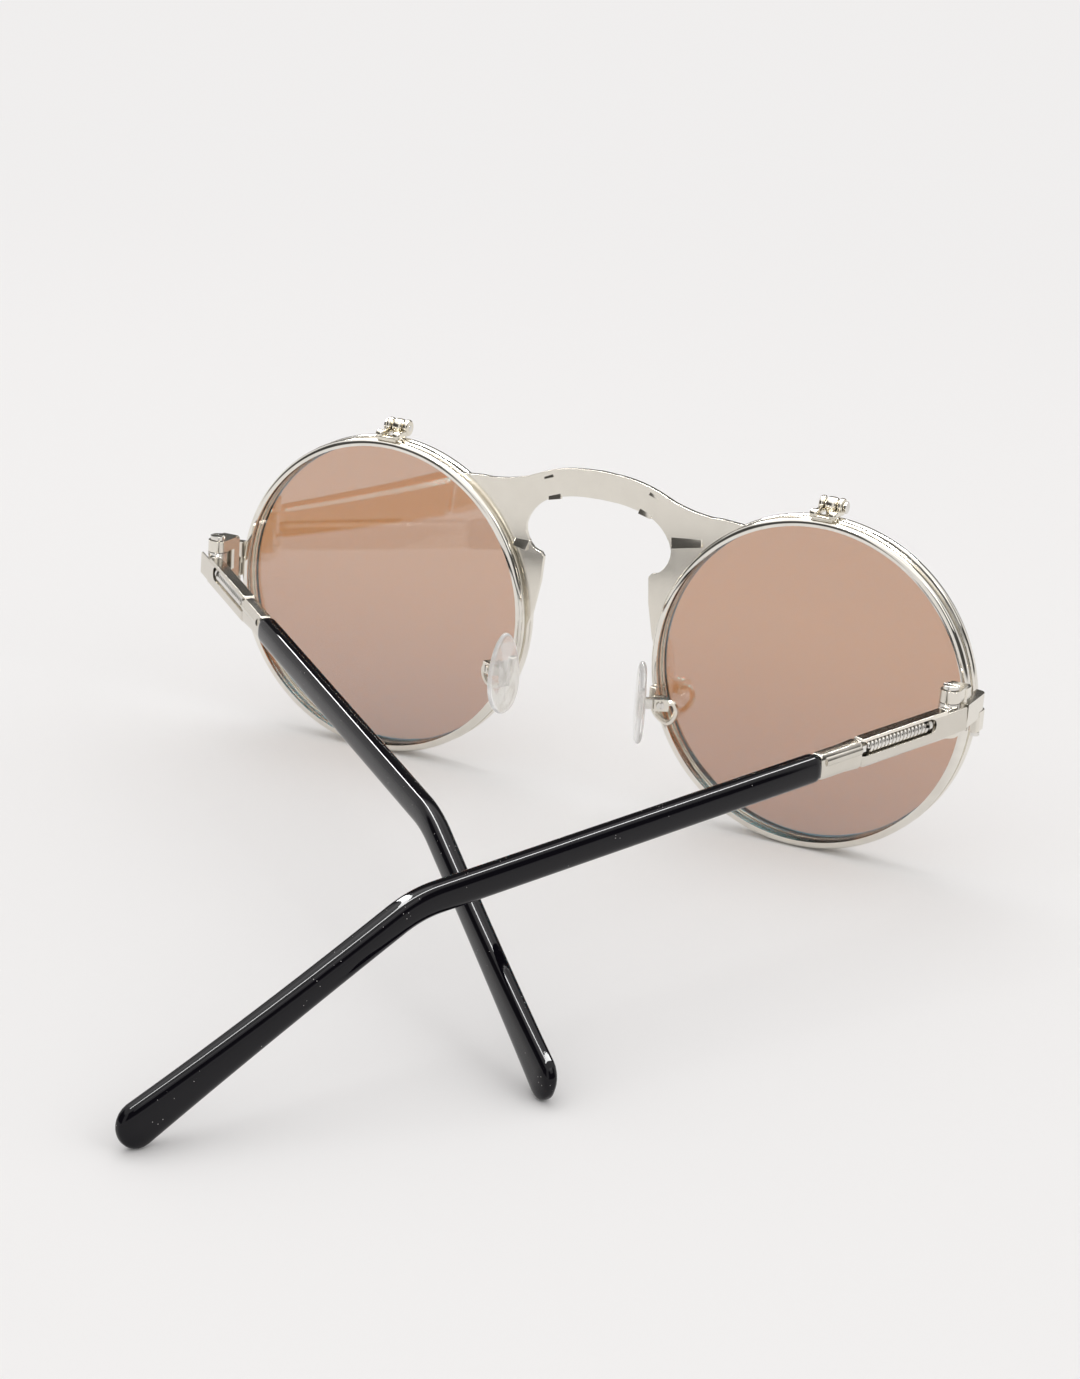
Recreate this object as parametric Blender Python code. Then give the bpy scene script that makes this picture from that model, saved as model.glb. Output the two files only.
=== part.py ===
"""Round flip-up sunglasses with a sheet-metal keyhole front, mirrored flip lenses and spring-loaded temples.

The left side of the glasses is drawn first and the right side is its mirror image. Only the fold of the two temples
differs. Lengths are in metres. +X is the wearer's left, +Y runs back to the ears and +Z is up. The front's own origin
is the middle of the bridge, on the plate's rear face, at the height of the lens centres.
"""

import math
from collections import namedtuple

import bmesh
import bpy
from mathutils import Matrix, Vector

# Front plate, rims and lenses
LENS_SPACING = 0.0719
SIGHT_RADIUS = 0.0240
PLATE_THICKNESS = 0.0008
PLATE_LIP = 0.0003
PLATE_RING_WIDTH = 0.0012
EYEWIRE_WIDTH = 0.0011
EYEWIRE_DEPTH = 0.0017
GROOVE_DEPTH = 0.0005
LENS_THICKNESS = 0.0008
LENS_CURVE_DEPTH = 0.0010
LENS_CLEARANCE = 0.0001
EDGE_BREAK = 0.0003
SOLDER_GAP = 0.0001

# Keyhole bridge
BRIDGE_RISE = 0.0008
BRIDGE_BAND = 0.0043
KEYHOLE_UNDERCUT = 0.00135
BRIDGE_RAISE = 0.0005
BRIDGE_PAD_SHARE = 0.645
BRIDGE_PAD_INSET = 0.0002
BRIDGE_RING_DEG = 120.0
TAB_RING_DEG = 180.0

# Flip rim and its hinge
FLIP_GAP = 0.0002
FLIP_RIM_WIDTH = 0.0012
FLIP_RIM_DEPTH = 0.0017
FLIP_BARREL_RADIUS = 0.0013
FLIP_PIN_RADIUS = 0.0005
FLIP_KNUCKLE_WIDTH = 0.0018
FLIP_EAR_WIDTH = 0.0009
FLIP_BLOCK_DEPTH = 0.0018
FLIP_PIN_HEAD_RADIUS = 0.0009
FLIP_PIN_HEAD_WIDTH = 0.0003

# Temple hinge and end piece
HINGE_INSET = 0.0006
HINGE_BACK = 0.0098
HINGE_RAISE = 0.0033
KNUCKLE_RADIUS = 0.0015
CENTRE_KNUCKLE_HEIGHT = 0.0030
EAR_HEIGHT = 0.0018
RUNNING_GAP = 0.00012
BORE_CLEARANCE = 0.00006
HINGE_SCREW_RADIUS = 0.0006
HINGE_HEAD_RADIUS = 0.0012
HINGE_HEAD_HEIGHT = 0.0006
SLOT_WIDTH = 0.0003
SLOT_DEPTH = 0.0003
LUG_WIDTH = 0.0012
LUG_HEIGHT = 0.0034
LUG_BEND_RADIUS = 0.0012
HINGE_PLATE_DEPTH = 0.0024
BUTT_GAP = 0.0003
RIM_SCREW_RADIUS = 0.00045
RIM_HEAD_RADIUS = 0.0007
RIM_HEAD_HEIGHT = 0.0005
RIM_BLOCK_DEPTH = 0.0026
RIM_BLOCK_DROP = 0.0024

# Temple front part, rod and spring
TEMPLE_HEIGHT = 0.0041
TEMPLE_THICKNESS = 0.0024
TEMPLE_OFFSET = 0.0011
TEMPLE_DROP = 0.0007
TEMPLE_EDGE = 0.0004
COVER_GAP = 0.00025
COVER_REACH = 0.0016
NECK_LENGTH = 0.0006
NECK_GAP = 0.00012
TEMPLE_FRONT_END = 0.0199
SLOT_START = 0.0050
SPRING_SLOT_HEIGHT = 0.0021
ROD_OFFSET = 0.0013
ROD_RADIUS = 0.00035
ROD_CLEARANCE = 0.00008
SPRING_WIRE_RADIUS = 0.00025
SPRING_MEAN_RADIUS = 0.00070
SPRING_TURNS = 11.0
SPRING_PITCH = 0.00096
SPRING_GAP = 0.0001
SLOT_FLOOR_GAP = 0.00015
SEAT_RADIUS = 0.0009
NUT_LENGTH = 0.0007
NUT_RADIUS = 0.0009

# Ferrule, core wire and sleeve
FERRULE_LENGTH = 0.0079
FERRULE_WAIST_SHARE = 0.93
FERRULE_SECTION_SHARES = [(0.0, 0.94), (0.05, 1.0), (0.4, 0.93), (0.93, 0.93), (1.0, 0.87)]
RIDGE_SHARE = 0.88
RIDGE_RADIUS = 0.0008
RIDGE_PROUD = 0.0003
CORE_RADIUS = 0.0006
CORE_CLEARANCE = 0.0001
CORE_SOCKET = 0.0030
CORE_END_MARGIN = 0.0090
SLEEVE_HEIGHT = 0.0040
SLEEVE_THICKNESS = 0.0030
SLEEVE_ROUND_LENGTH = 0.0008
STRAIGHT_LENGTH = 0.0975
TIP_LENGTH = 0.0468
TIP_DEG = 21.2
BEND_RADIUS = 0.0180
TIP_HEIGHT = 0.0054
TIP_THICKNESS = 0.0025
TIP_END_LENGTH = 0.0028
TIP_SPREAD_SHARE = 0.8
TIP_SPREAD_POWER = 1.3
TIP_END_DEGS = (30.0, 55.0, 75.0)
COLLAR_SHARE = 0.9
ROUTE_STEPS = 5
TIP_STEPS = 5

# Nose pads and their arms
PAD_SPLAY_DEG = 60.0
PAD_PIVOT_OUT = 0.00325
PAD_PIVOT_BACK = 0.0042
PAD_PIVOT_DROP = 0.0065
PAD_HEIGHT = 0.0130
PAD_WIDTH = 0.0056
PAD_THICKNESS = 0.0014
PAD_STANDOFF = 0.0022
TAB_WIDTH = 0.0010
TAB_HEIGHT = 0.0016
TAB_BACK = 0.0007
FORK_CHEEK = 0.0005
FORK_GAP = 0.0001
FORK_REACH = 0.0009
FORK_WEB = 0.0004
PAD_SCREW_RADIUS = 0.00035
PAD_HEAD_RADIUS = 0.0006
PAD_HEAD_HEIGHT = 0.0003
ARM_WIRE_RADIUS = 0.00045
ARM_FOOT_DEG = 194.0
ARM_FOOT_WIDTH = 0.0011
ARM_FOOT_DEPTH = 0.0010
ARM_FOOT_HEIGHT = 0.0026
ARM_LOOP_DROP = 0.0030
ARM_LOOP_SIDE = 0.0030

# Fold of each temple from the closed position, degrees, as the glasses stand
LEFT_FOLD_DEG = 40.4
RIGHT_FOLD_DEG = 68.0
OPEN_FOLD_DEG = 90.0

# Counts of steps round a shape
RING_STEPS = 48
ARC_STEP_DEG = 6.0
BARREL_STEPS = 16
PIN_STEPS = 10
CURL_STEPS = 9
SECTION_STEPS = 14
WELD = 0.000001
OVERRUN = 0.0005

# Sizes that follow from the ones above
LENS_SIDE = LENS_SPACING / 2
PLATE_RADIUS = SIGHT_RADIUS + PLATE_RING_WIDTH
HALF_GAP = LENS_SIDE - PLATE_RADIUS
BRIDGE_TOP_HEIGHT = PLATE_RADIUS + BRIDGE_RISE
KEYHOLE_TOP_HEIGHT = BRIDGE_TOP_HEIGHT - BRIDGE_BAND
KEYHOLE_HALF_WIDTH = HALF_GAP + KEYHOLE_UNDERCUT
BRIDGE_PAD_HALF_WIDTH = KEYHOLE_HALF_WIDTH * BRIDGE_PAD_SHARE
PAD_PIVOT_SIDE = HALF_GAP + PAD_PIVOT_OUT
EYEWIRE_RADIUS = SIGHT_RADIUS + EYEWIRE_WIDTH
FLIP_RIM_RADIUS = SIGHT_RADIUS + FLIP_RIM_WIDTH
EYEWIRE_MIDDLE = SOLDER_GAP + EYEWIRE_DEPTH / 2
FLIP_RIM_MIDDLE = -(PLATE_THICKNESS + FLIP_GAP + FLIP_RIM_DEPTH / 2)
FLIP_AXIS_BACK = FLIP_RIM_MIDDLE - FLIP_RIM_DEPTH / 3
FLIP_AXIS_UP = PLATE_RADIUS + SOLDER_GAP + FLIP_BARREL_RADIUS
HINGE_SIDE = LENS_SIDE + PLATE_RADIUS - HINGE_INSET
TEMPLE_OUTER = TEMPLE_OFFSET + TEMPLE_THICKNESS / 2
TEMPLE_INNER = TEMPLE_OFFSET - TEMPLE_THICKNESS / 2
COVER_INNER = KNUCKLE_RADIUS + COVER_GAP
TEMPLE_FRONT_START = KNUCKLE_RADIUS + NECK_LENGTH
EAR_LOW = CENTRE_KNUCKLE_HEIGHT / 2 + RUNNING_GAP
EAR_TOP = EAR_LOW + EAR_HEIGHT
FERRULE_START = TEMPLE_FRONT_END + SOLDER_GAP
SLEEVE_START = FERRULE_START + FERRULE_LENGTH + SOLDER_GAP
NUT_START = TEMPLE_FRONT_END - NUT_LENGTH - SPRING_GAP
SPRING_STRAIGHT = 2 * SPRING_WIRE_RADIUS
SPRING_TURN_LENGTH = SPRING_MEAN_RADIUS

Side = namedtuple("Side", "name sign fold_deg")
LEFT = Side("left", 1, LEFT_FOLD_DEG)
RIGHT = Side("right", -1, RIGHT_FOLD_DEG)

# Half outline of the bridge from its top middle out to the ring, as shares of the lens side and the bridge's height
BRIDGE_TOP_SHARES = [(0.0, 1.0), (0.10, 0.992), (0.18, 0.975), (0.26, 0.942), (0.34, 0.895), (0.43, 0.862), (0.51, 0.848), (0.552, 0.85)]
# Half outline of the keyhole from its top middle down, as shares of its half width and its height
KEYHOLE_SHARES = [(0.0, 1.0), (0.25, 0.995), (0.50, 0.972), (0.74, 0.925), (0.91, 0.838), (1.0, 0.73), (0.965, 0.635)]
SHOULDER_SHARES = [(0.87, 0.565), (0.765, 0.545)]
TAB_SHARES = [(0.725, 0.515), (0.735, 0.43), (0.75, 0.333), (0.79, 0.216), (0.83, 0.104)]


def material(name, colour, roughness, metallic, transmission=0.0):
    """A Principled material in the photographed colour."""
    made = bpy.data.materials.new(name)
    made.use_nodes = True
    shader = made.node_tree.nodes["Principled BSDF"]
    shader.inputs["Base Color"].default_value = (*colour, 1.0)
    shader.inputs["Roughness"].default_value = roughness
    shader.inputs["Metallic"].default_value = metallic
    shader.inputs["Transmission Weight"].default_value = transmission
    made.diffuse_color = (*colour, 1.0)
    return made


def bmesh_object(shape, name="draft"):
    """Turn a bmesh into an object with outward faces."""
    bmesh.ops.recalc_face_normals(shape, faces=shape.faces)
    mesh = bpy.data.meshes.new(name)
    shape.to_mesh(mesh)
    shape.free()
    made = bpy.data.objects.new(name, mesh)
    bpy.context.scene.collection.objects.link(made)
    return made


def baked(source):
    """Replace an object's data by the mesh that its modifiers or its curve give."""
    graph = bpy.context.evaluated_depsgraph_get()
    mesh = bpy.data.meshes.new_from_object(source.evaluated_get(graph))
    made = bpy.data.objects.new("draft", mesh)
    made.matrix_world = source.matrix_world
    bpy.context.scene.collection.objects.link(made)
    bpy.data.objects.remove(source)
    return made


def combined(target, tools, operation):
    """Join solids to a solid with UNION, or cut them out of it with DIFFERENCE."""
    for tool in tools:
        modifier = target.modifiers.new("combine", "BOOLEAN")
        modifier.operation = operation
        modifier.solver = "EXACT"
        modifier.object = tool
    target = baked(target)
    for tool in tools:
        bpy.data.objects.remove(tool)
    return target


def joined(target, *tools):
    return combined(target, tools, "UNION")


def cut(target, *tools):
    return combined(target, tools, "DIFFERENCE")


def cylinder(centre, axis, radius, length, steps=BARREL_STEPS):
    """A round bar whose middle is at centre."""
    shape = bmesh.new()
    bmesh.ops.create_cone(
        shape, cap_ends=True, segments=steps, radius1=radius, radius2=radius, depth=length
    )
    turn = Vector((0, 0, 1)).rotation_difference(Vector(axis)).to_matrix().to_4x4()
    bmesh.ops.transform(shape, matrix=Matrix.Translation(centre) @ turn, verts=shape.verts)
    return bmesh_object(shape)


def block(low, high, edge=0.0):
    """A box between two corners, with its edges broken by a chamfer where edge is given."""
    low, high = Vector(low), Vector(high)
    shape = bmesh.new()
    bmesh.ops.create_cube(shape, size=1)
    size = high - low
    bmesh.ops.transform(
        shape,
        matrix=Matrix.Translation((low + high) / 2) @ Matrix.Diagonal((*size, 1)),
        verts=shape.verts,
    )
    if edge:
        bmesh.ops.bevel(shape, geom=shape.edges, offset=edge, segments=1, affect="EDGES")
    return bmesh_object(shape)


def extruded(outline, travel):
    """A solid swept from a closed flat outline along travel."""
    shape = bmesh.new()
    face = shape.faces.new([shape.verts.new(point) for point in outline])
    swept = bmesh.ops.extrude_face_region(shape, geom=[face])["geom"]
    moved = [item for item in swept if isinstance(item, bmesh.types.BMVert)]
    bmesh.ops.translate(shape, vec=travel, verts=moved)
    return bmesh_object(shape)


def turned(profile, centre, closed):
    """A shape spun about the Y direction through centre, from (radius, depth) points."""
    shape = bmesh.new()
    points = [shape.verts.new(Vector(centre) + Vector((0, depth, radius))) for radius, depth in profile]
    edges = [shape.edges.new(pair) for pair in zip(points, points[1:])]
    if closed:
        edges.append(shape.edges.new((points[-1], points[0])))
    bmesh.ops.spin(
        shape,
        geom=points + edges,
        cent=centre,
        axis=(0, 1, 0),
        angle=math.tau,
        steps=RING_STEPS,
        use_merge=True,
    )
    bmesh.ops.remove_doubles(shape, verts=shape.verts, dist=WELD)
    return bmesh_object(shape)


def lofted(sections):
    """A solid that runs through closed sections with the same number of points."""
    shape = bmesh.new()
    face = shape.faces.new([shape.verts.new(point) for point in sections[0]])
    for section in sections[1:]:
        swept = bmesh.ops.extrude_face_region(shape, geom=[face, *face.edges])["geom"]
        face = next(item for item in swept if isinstance(item, bmesh.types.BMFace))
        for vert, point in zip(face.verts, section):
            vert.co = point
    return bmesh_object(shape)


def wire(points, radius):
    """A round wire along a line of points, with flat ends."""
    curve = bpy.data.curves.new("wire", "CURVE")
    curve.dimensions = "3D"
    curve.bevel_depth = radius
    curve.bevel_resolution = 1
    curve.use_fill_caps = True
    spline = curve.splines.new("POLY")
    spline.points.add(len(points) - 1)
    for place, point in zip(spline.points, points):
        place.co = (*point, 1)
    made = bpy.data.objects.new("wire", curve)
    bpy.context.scene.collection.objects.link(made)
    made = baked(made)
    shape = bmesh.new()
    shape.from_mesh(made.data)
    bmesh.ops.remove_doubles(shape, verts=shape.verts, dist=WELD)
    bpy.data.objects.remove(made)
    return bmesh_object(shape)


def smooth_line(points, steps):
    """Catmull-Rom points through a list of places, both ends included."""
    places = [Vector(p) for p in points]
    places = [2 * places[0] - places[1], *places, 2 * places[-1] - places[-2]]
    line = []
    for a, b, c, d in zip(places, places[1:], places[2:], places[3:]):
        for k in range(steps):
            t = k / steps
            line.append(
                (2 * b + (c - a) * t + (2 * a - 5 * b + 4 * c - d) * t**2 + (3 * b - a - 3 * c + d) * t**3) / 2
            )
    return line + [places[-2]]


def circle(centre, radius, start_deg, end_deg, step_deg=ARC_STEP_DEG):
    """Points (a, b) of an arc, both ends included."""
    count = max(2, round(abs(end_deg - start_deg) / step_deg))
    angles = [math.radians(start_deg + (end_deg - start_deg) * k / count) for k in range(count + 1)]
    return [(centre[0] + radius * math.cos(a), centre[1] + radius * math.sin(a)) for a in angles]


def placed(made, name, side, parent, finish, smooth_deg=35.0):
    """Name a solid, mirror it for the right side, and hang it under its parent."""
    mesh = made.data
    mesh.transform(made.matrix_world)
    made.matrix_world = Matrix.Identity(4)
    if side.sign < 0:
        mesh.transform(Matrix.Scale(-1, 4, Vector((1, 0, 0))))
        mesh.flip_normals()
    made.name = mesh.name = f"{side.name}_{name}" if side.name else name
    mesh.materials.clear()
    mesh.materials.append(finish)
    mesh.shade_smooth()
    mesh.set_sharp_from_angle(angle=math.radians(smooth_deg))
    made.parent = parent
    return made


def axis_empty(name, side, place, parent, turn_deg=0.0):
    """An empty on a joint's axis. Its X is mirrored for the right side."""
    made = bpy.data.objects.new(f"{side.name}_{name}" if side.name else name, None)
    made.empty_display_size = KNUCKLE_RADIUS
    made.location = (side.sign * place[0], place[1], place[2])
    made.rotation_euler = (0, 0, side.sign * math.radians(turn_deg))
    made.parent = parent
    bpy.context.scene.collection.objects.link(made)
    return made


def front_outline():
    """The plate's outer contour as (x, z) points, round both rings and the keyhole."""
    top = [(x * LENS_SIDE, z * BRIDGE_TOP_HEIGHT) for x, z in BRIDGE_TOP_SHARES]
    merge = circle((LENS_SIDE, 0), PLATE_RADIUS, BRIDGE_RING_DEG, BRIDGE_RING_DEG + 1)[0]
    top = [(p.x, p.z) for p in smooth_line([(x, 0, z) for x, z in top + [merge]], 2)]
    ring = circle((LENS_SIDE, 0), PLATE_RADIUS, BRIDGE_RING_DEG, TAB_RING_DEG - 360.0)
    hole = [(x * KEYHOLE_HALF_WIDTH, z * KEYHOLE_TOP_HEIGHT) for x, z in KEYHOLE_SHARES + SHOULDER_SHARES]
    hole = [(p.x, p.z) for p in smooth_line([(x, 0, z) for x, z in hole], 2)]
    tab = [(x * KEYHOLE_HALF_WIDTH, z * KEYHOLE_TOP_HEIGHT) for x, z in TAB_SHARES]
    half = top[:-1] + ring + tab[::-1] + hole[::-1]
    mirrored = [(-x, z) for x, z in reversed(half[1:-1])]
    return half + mirrored


def bridge_pad_outline():
    """The raised middle of the bridge as (x, z) points, a little inside the bridge's own edges."""
    reach = BRIDGE_PAD_HALF_WIDTH
    tops = [(x * LENS_SIDE, z * BRIDGE_TOP_HEIGHT) for x, z in BRIDGE_TOP_SHARES if x * LENS_SIDE < reach]
    lows = [(x * KEYHOLE_HALF_WIDTH, z * KEYHOLE_TOP_HEIGHT) for x, z in KEYHOLE_SHARES if x * KEYHOLE_HALF_WIDTH < reach]
    half = [(x, z - BRIDGE_PAD_INSET) for x, z in tops] + [(x, z + BRIDGE_PAD_INSET) for x, z in reversed(lows)]
    mirrored = [(-x, z) for x, z in reversed(half[1:-1])]
    return half + mirrored


def front_frame(parent, metal):
    """The sheet-metal front: two flanged rings and the keyhole bridge with its raised middle."""
    outline = [(x, 0, z) for x, z in front_outline()]
    plate = extruded(outline, (0, -PLATE_THICKNESS, 0))
    pad_outline = [(x, -PLATE_THICKNESS - BRIDGE_RAISE, z) for x, z in bridge_pad_outline()]
    plate = joined(plate, extruded(pad_outline, (0, PLATE_THICKNESS / 2 + BRIDGE_RAISE, 0)))
    holes = [
        cylinder((x, 0, 0), (0, 1, 0), SIGHT_RADIUS + PLATE_LIP, 4 * PLATE_THICKNESS, RING_STEPS)
        for x in (LENS_SIDE, -LENS_SIDE)
    ]
    plate = cut(plate, *holes)
    return placed(plate, "front_frame", Side("", 1, 0), parent, metal)


def grooved_ring(middle, outer_radius, depth):
    """A lens ring with a groove inside, spun about the lens centre."""
    half = depth / 2
    slot = LENS_THICKNESS / 2 + LENS_CLEARANCE
    profile = [
        (outer_radius - EDGE_BREAK, -half),
        (outer_radius, EDGE_BREAK - half),
        (outer_radius, half - EDGE_BREAK),
        (outer_radius - EDGE_BREAK, half),
        (SIGHT_RADIUS, half),
        (SIGHT_RADIUS, slot),
        (SIGHT_RADIUS + GROOVE_DEPTH, slot),
        (SIGHT_RADIUS + GROOVE_DEPTH, -slot),
        (SIGHT_RADIUS, -slot),
        (SIGHT_RADIUS, -half),
    ]
    return turned(profile, (LENS_SIDE, middle, 0), True)


def lens(middle):
    """A curved lens whose edge sits in a ring's groove."""
    edge = SIGHT_RADIUS + GROOVE_DEPTH - LENS_CLEARANCE
    shares = (0.0, 0.4, 0.75, 1.0)

    def surface(side):
        return [(edge * s, LENS_CURVE_DEPTH * (s**2 - 1) + side * LENS_THICKNESS / 2) for s in shares]

    return turned(surface(-1) + surface(1)[::-1], (LENS_SIDE, middle, 0), False)


def flip_hinge_base():
    """The saddle behind the rim's top with two ears that reach over it to the flip axis."""
    width = FLIP_KNUCKLE_WIDTH / 2 + RUNNING_GAP + FLIP_EAR_WIDTH
    back, up = FLIP_AXIS_BACK, FLIP_AXIS_UP
    floor = EYEWIRE_RADIUS + SOLDER_GAP
    saddle_half = width - EDGE_BREAK / 2
    saddle = block(
        (LENS_SIDE - saddle_half, SOLDER_GAP, floor),
        (LENS_SIDE + saddle_half, SOLDER_GAP + FLIP_BLOCK_DEPTH, up + FLIP_BARREL_RADIUS / 4),
        EDGE_BREAK,
    )
    barrel = circle((back, up), FLIP_BARREL_RADIUS, 90, 270, 22.5)
    rear = SOLDER_GAP + FLIP_BLOCK_DEPTH / 2
    outline = [(rear, floor + EDGE_BREAK), (rear, up + FLIP_BARREL_RADIUS / 6), *barrel]
    outline += [(SOLDER_GAP + EDGE_BREAK, up - FLIP_BARREL_RADIUS), (SOLDER_GAP + EDGE_BREAK, floor + EDGE_BREAK)]
    ears = []
    for start in (-width, width - FLIP_EAR_WIDTH):
        face = [(LENS_SIDE + start, y, z) for y, z in outline]
        ears.append(extruded(face, (FLIP_EAR_WIDTH, 0, 0)))
    base = joined(saddle, *ears)
    bore = cylinder((LENS_SIDE, back, up), (1, 0, 0), FLIP_PIN_RADIUS + BORE_CLEARANCE, 4 * width, PIN_STEPS)
    return cut(base, bore)


def flip_pin():
    """The pin through the flip hinge, with a low head at its outer end."""
    width = FLIP_KNUCKLE_WIDTH / 2 + RUNNING_GAP + FLIP_EAR_WIDTH
    place = (LENS_SIDE, FLIP_AXIS_BACK, FLIP_AXIS_UP)
    shaft = cylinder(place, (1, 0, 0), FLIP_PIN_RADIUS, 2 * width, PIN_STEPS)
    head_place = (LENS_SIDE + width + SOLDER_GAP + FLIP_PIN_HEAD_WIDTH / 2, FLIP_AXIS_BACK, FLIP_AXIS_UP)
    neck = cylinder(
        (LENS_SIDE + width, FLIP_AXIS_BACK, FLIP_AXIS_UP), (1, 0, 0), FLIP_PIN_RADIUS, 4 * SOLDER_GAP, PIN_STEPS
    )
    head = cylinder(head_place, (1, 0, 0), FLIP_PIN_HEAD_RADIUS, FLIP_PIN_HEAD_WIDTH, PIN_STEPS)
    return joined(shaft, neck, head)


def flip_rim():
    """The front ring with the centre knuckle of the flip hinge, about the flip axis."""
    ring = grooved_ring(FLIP_RIM_MIDDLE, FLIP_RIM_RADIUS, FLIP_RIM_DEPTH)
    knuckle = circle((FLIP_AXIS_BACK, FLIP_AXIS_UP), FLIP_BARREL_RADIUS, -40, 220, 20)
    foot = FLIP_RIM_RADIUS - EDGE_BREAK * 2
    outline = knuckle + [
        (FLIP_RIM_MIDDLE - FLIP_RIM_DEPTH / 2 + EDGE_BREAK, foot),
        (FLIP_RIM_MIDDLE + EDGE_BREAK, foot),
    ]
    tab = extruded([(LENS_SIDE - FLIP_KNUCKLE_WIDTH / 2, y, z) for y, z in outline], (FLIP_KNUCKLE_WIDTH, 0, 0))
    ring = joined(ring, tab)
    bore = cylinder(
        (LENS_SIDE, FLIP_AXIS_BACK, FLIP_AXIS_UP),
        (1, 0, 0),
        FLIP_PIN_RADIUS + BORE_CLEARANCE,
        2 * FLIP_KNUCKLE_WIDTH,
        PIN_STEPS,
    )
    return cut(ring, bore)


def end_piece():
    """The lug from the rim's outer edge to the temple hinge, with two ears and the rim's closing block."""
    middle = HINGE_RAISE - TEMPLE_DROP
    low, high = middle - LUG_HEIGHT / 2, middle + LUG_HEIGHT / 2
    inner = LENS_SIDE + EYEWIRE_RADIUS + 2 * SOLDER_GAP
    outer = HINGE_SIDE + TEMPLE_OUTER
    rear = HINGE_BACK - COVER_REACH - BUTT_GAP
    bend = circle((outer - LUG_BEND_RADIUS, SOLDER_GAP + LUG_BEND_RADIUS), LUG_BEND_RADIUS, -90, 0, 18)
    foot = SOLDER_GAP + LUG_WIDTH
    lug_outline = [(inner, SOLDER_GAP), *bend, (outer, rear), (outer - LUG_WIDTH, rear)]
    lug_outline += [(outer - LUG_WIDTH, foot + EDGE_BREAK), (outer - LUG_WIDTH - EDGE_BREAK, foot), (inner, foot)]
    lug = extruded([(x, y, low) for x, y in lug_outline], (0, 0, high - low))
    plate_front = rear - HINGE_PLATE_DEPTH
    hinge_plate = block(
        (HINGE_SIDE - KNUCKLE_RADIUS, plate_front, HINGE_RAISE - EAR_TOP),
        (outer - LUG_WIDTH / 2, rear - BUTT_GAP, HINGE_RAISE + EAR_TOP),
        EDGE_BREAK,
    )
    ears = []
    for start in (EAR_LOW, -EAR_TOP):
        barrel = circle((HINGE_SIDE, HINGE_BACK), KNUCKLE_RADIUS, 0, 180, 180 / 8)
        outline = barrel + [
            (HINGE_SIDE - KNUCKLE_RADIUS, rear - HINGE_PLATE_DEPTH / 2),
            (HINGE_SIDE + KNUCKLE_RADIUS, rear - HINGE_PLATE_DEPTH / 2),
        ]
        shape = [(x, y, HINGE_RAISE + start) for x, y in outline]
        ears.append(extruded(shape, (0, 0, EAR_HEIGHT)))
    rim_block = block(
        (inner + EDGE_BREAK / 2, SOLDER_GAP + EDGE_BREAK / 2, low - RIM_BLOCK_DROP),
        (inner + 2 * RIM_HEAD_RADIUS + EDGE_BREAK, SOLDER_GAP + RIM_BLOCK_DEPTH, low + LUG_HEIGHT / 3),
        EDGE_BREAK,
    )
    made = joined(lug, hinge_plate, *ears, rim_block)
    hinge_bore = cylinder(
        (HINGE_SIDE, HINGE_BACK, HINGE_RAISE), (0, 0, 1), HINGE_SCREW_RADIUS + BORE_CLEARANCE, 4 * EAR_TOP, PIN_STEPS
    )
    x, y, z, length = rim_screw_place()
    rim_bore = cylinder(
        (x, y, z + (length - OVERRUN) / 2),
        (0, 0, 1),
        RIM_SCREW_RADIUS + BORE_CLEARANCE,
        length + BORE_CLEARANCE + OVERRUN,
        PIN_STEPS,
    )
    return cut(made, hinge_bore, rim_bore)


def rim_screw_place():
    """Where the rim's closing screw stands: x, y, the block's underside, and how deep it goes."""
    low = HINGE_RAISE - TEMPLE_DROP - LUG_HEIGHT / 2
    x = LENS_SIDE + EYEWIRE_RADIUS + 2 * SOLDER_GAP + RIM_HEAD_RADIUS + EDGE_BREAK / 2
    y = SOLDER_GAP + RIM_BLOCK_DEPTH / 2
    return x, y, low - RIM_BLOCK_DROP, RIM_BLOCK_DROP + LUG_HEIGHT / 4


def slotted_screw(place, head_radius, head_height, shaft_radius, length, lift):
    """A screw whose head's underside floats a hair above place and whose shaft runs down from it."""
    x, y, z = place
    shaft = cylinder((x, y, z + (lift - length) / 2), (0, 0, 1), shaft_radius, length + lift + head_height / 2, PIN_STEPS)
    head = cylinder((x, y, z + lift + head_height / 2), (0, 0, 1), head_radius, head_height, BARREL_STEPS)
    slot = block(
        (x - 2 * head_radius, y - SLOT_WIDTH / 2, z + lift + head_height - SLOT_DEPTH),
        (x + 2 * head_radius, y + SLOT_WIDTH / 2, z + lift + head_height + OVERRUN),
    )
    return cut(joined(head, shaft), slot)


def hinge_screw():
    """The temple hinge's screw, head on top."""
    return slotted_screw(
        (HINGE_SIDE, HINGE_BACK, HINGE_RAISE + EAR_TOP),
        HINGE_HEAD_RADIUS,
        HINGE_HEAD_HEIGHT,
        HINGE_SCREW_RADIUS,
        2 * EAR_TOP,
        SOLDER_GAP,
    )


def rim_screw():
    """The screw that closes the rim, driven from below."""
    x, y, z, length = rim_screw_place()
    made = slotted_screw((0, 0, 0), RIM_HEAD_RADIUS, RIM_HEAD_HEIGHT, RIM_SCREW_RADIUS, length - 2 * SOLDER_GAP, SOLDER_GAP)
    made.matrix_world = Matrix.Translation((x, y, z)) @ Matrix.Rotation(math.pi, 4, "X")
    return made


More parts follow.
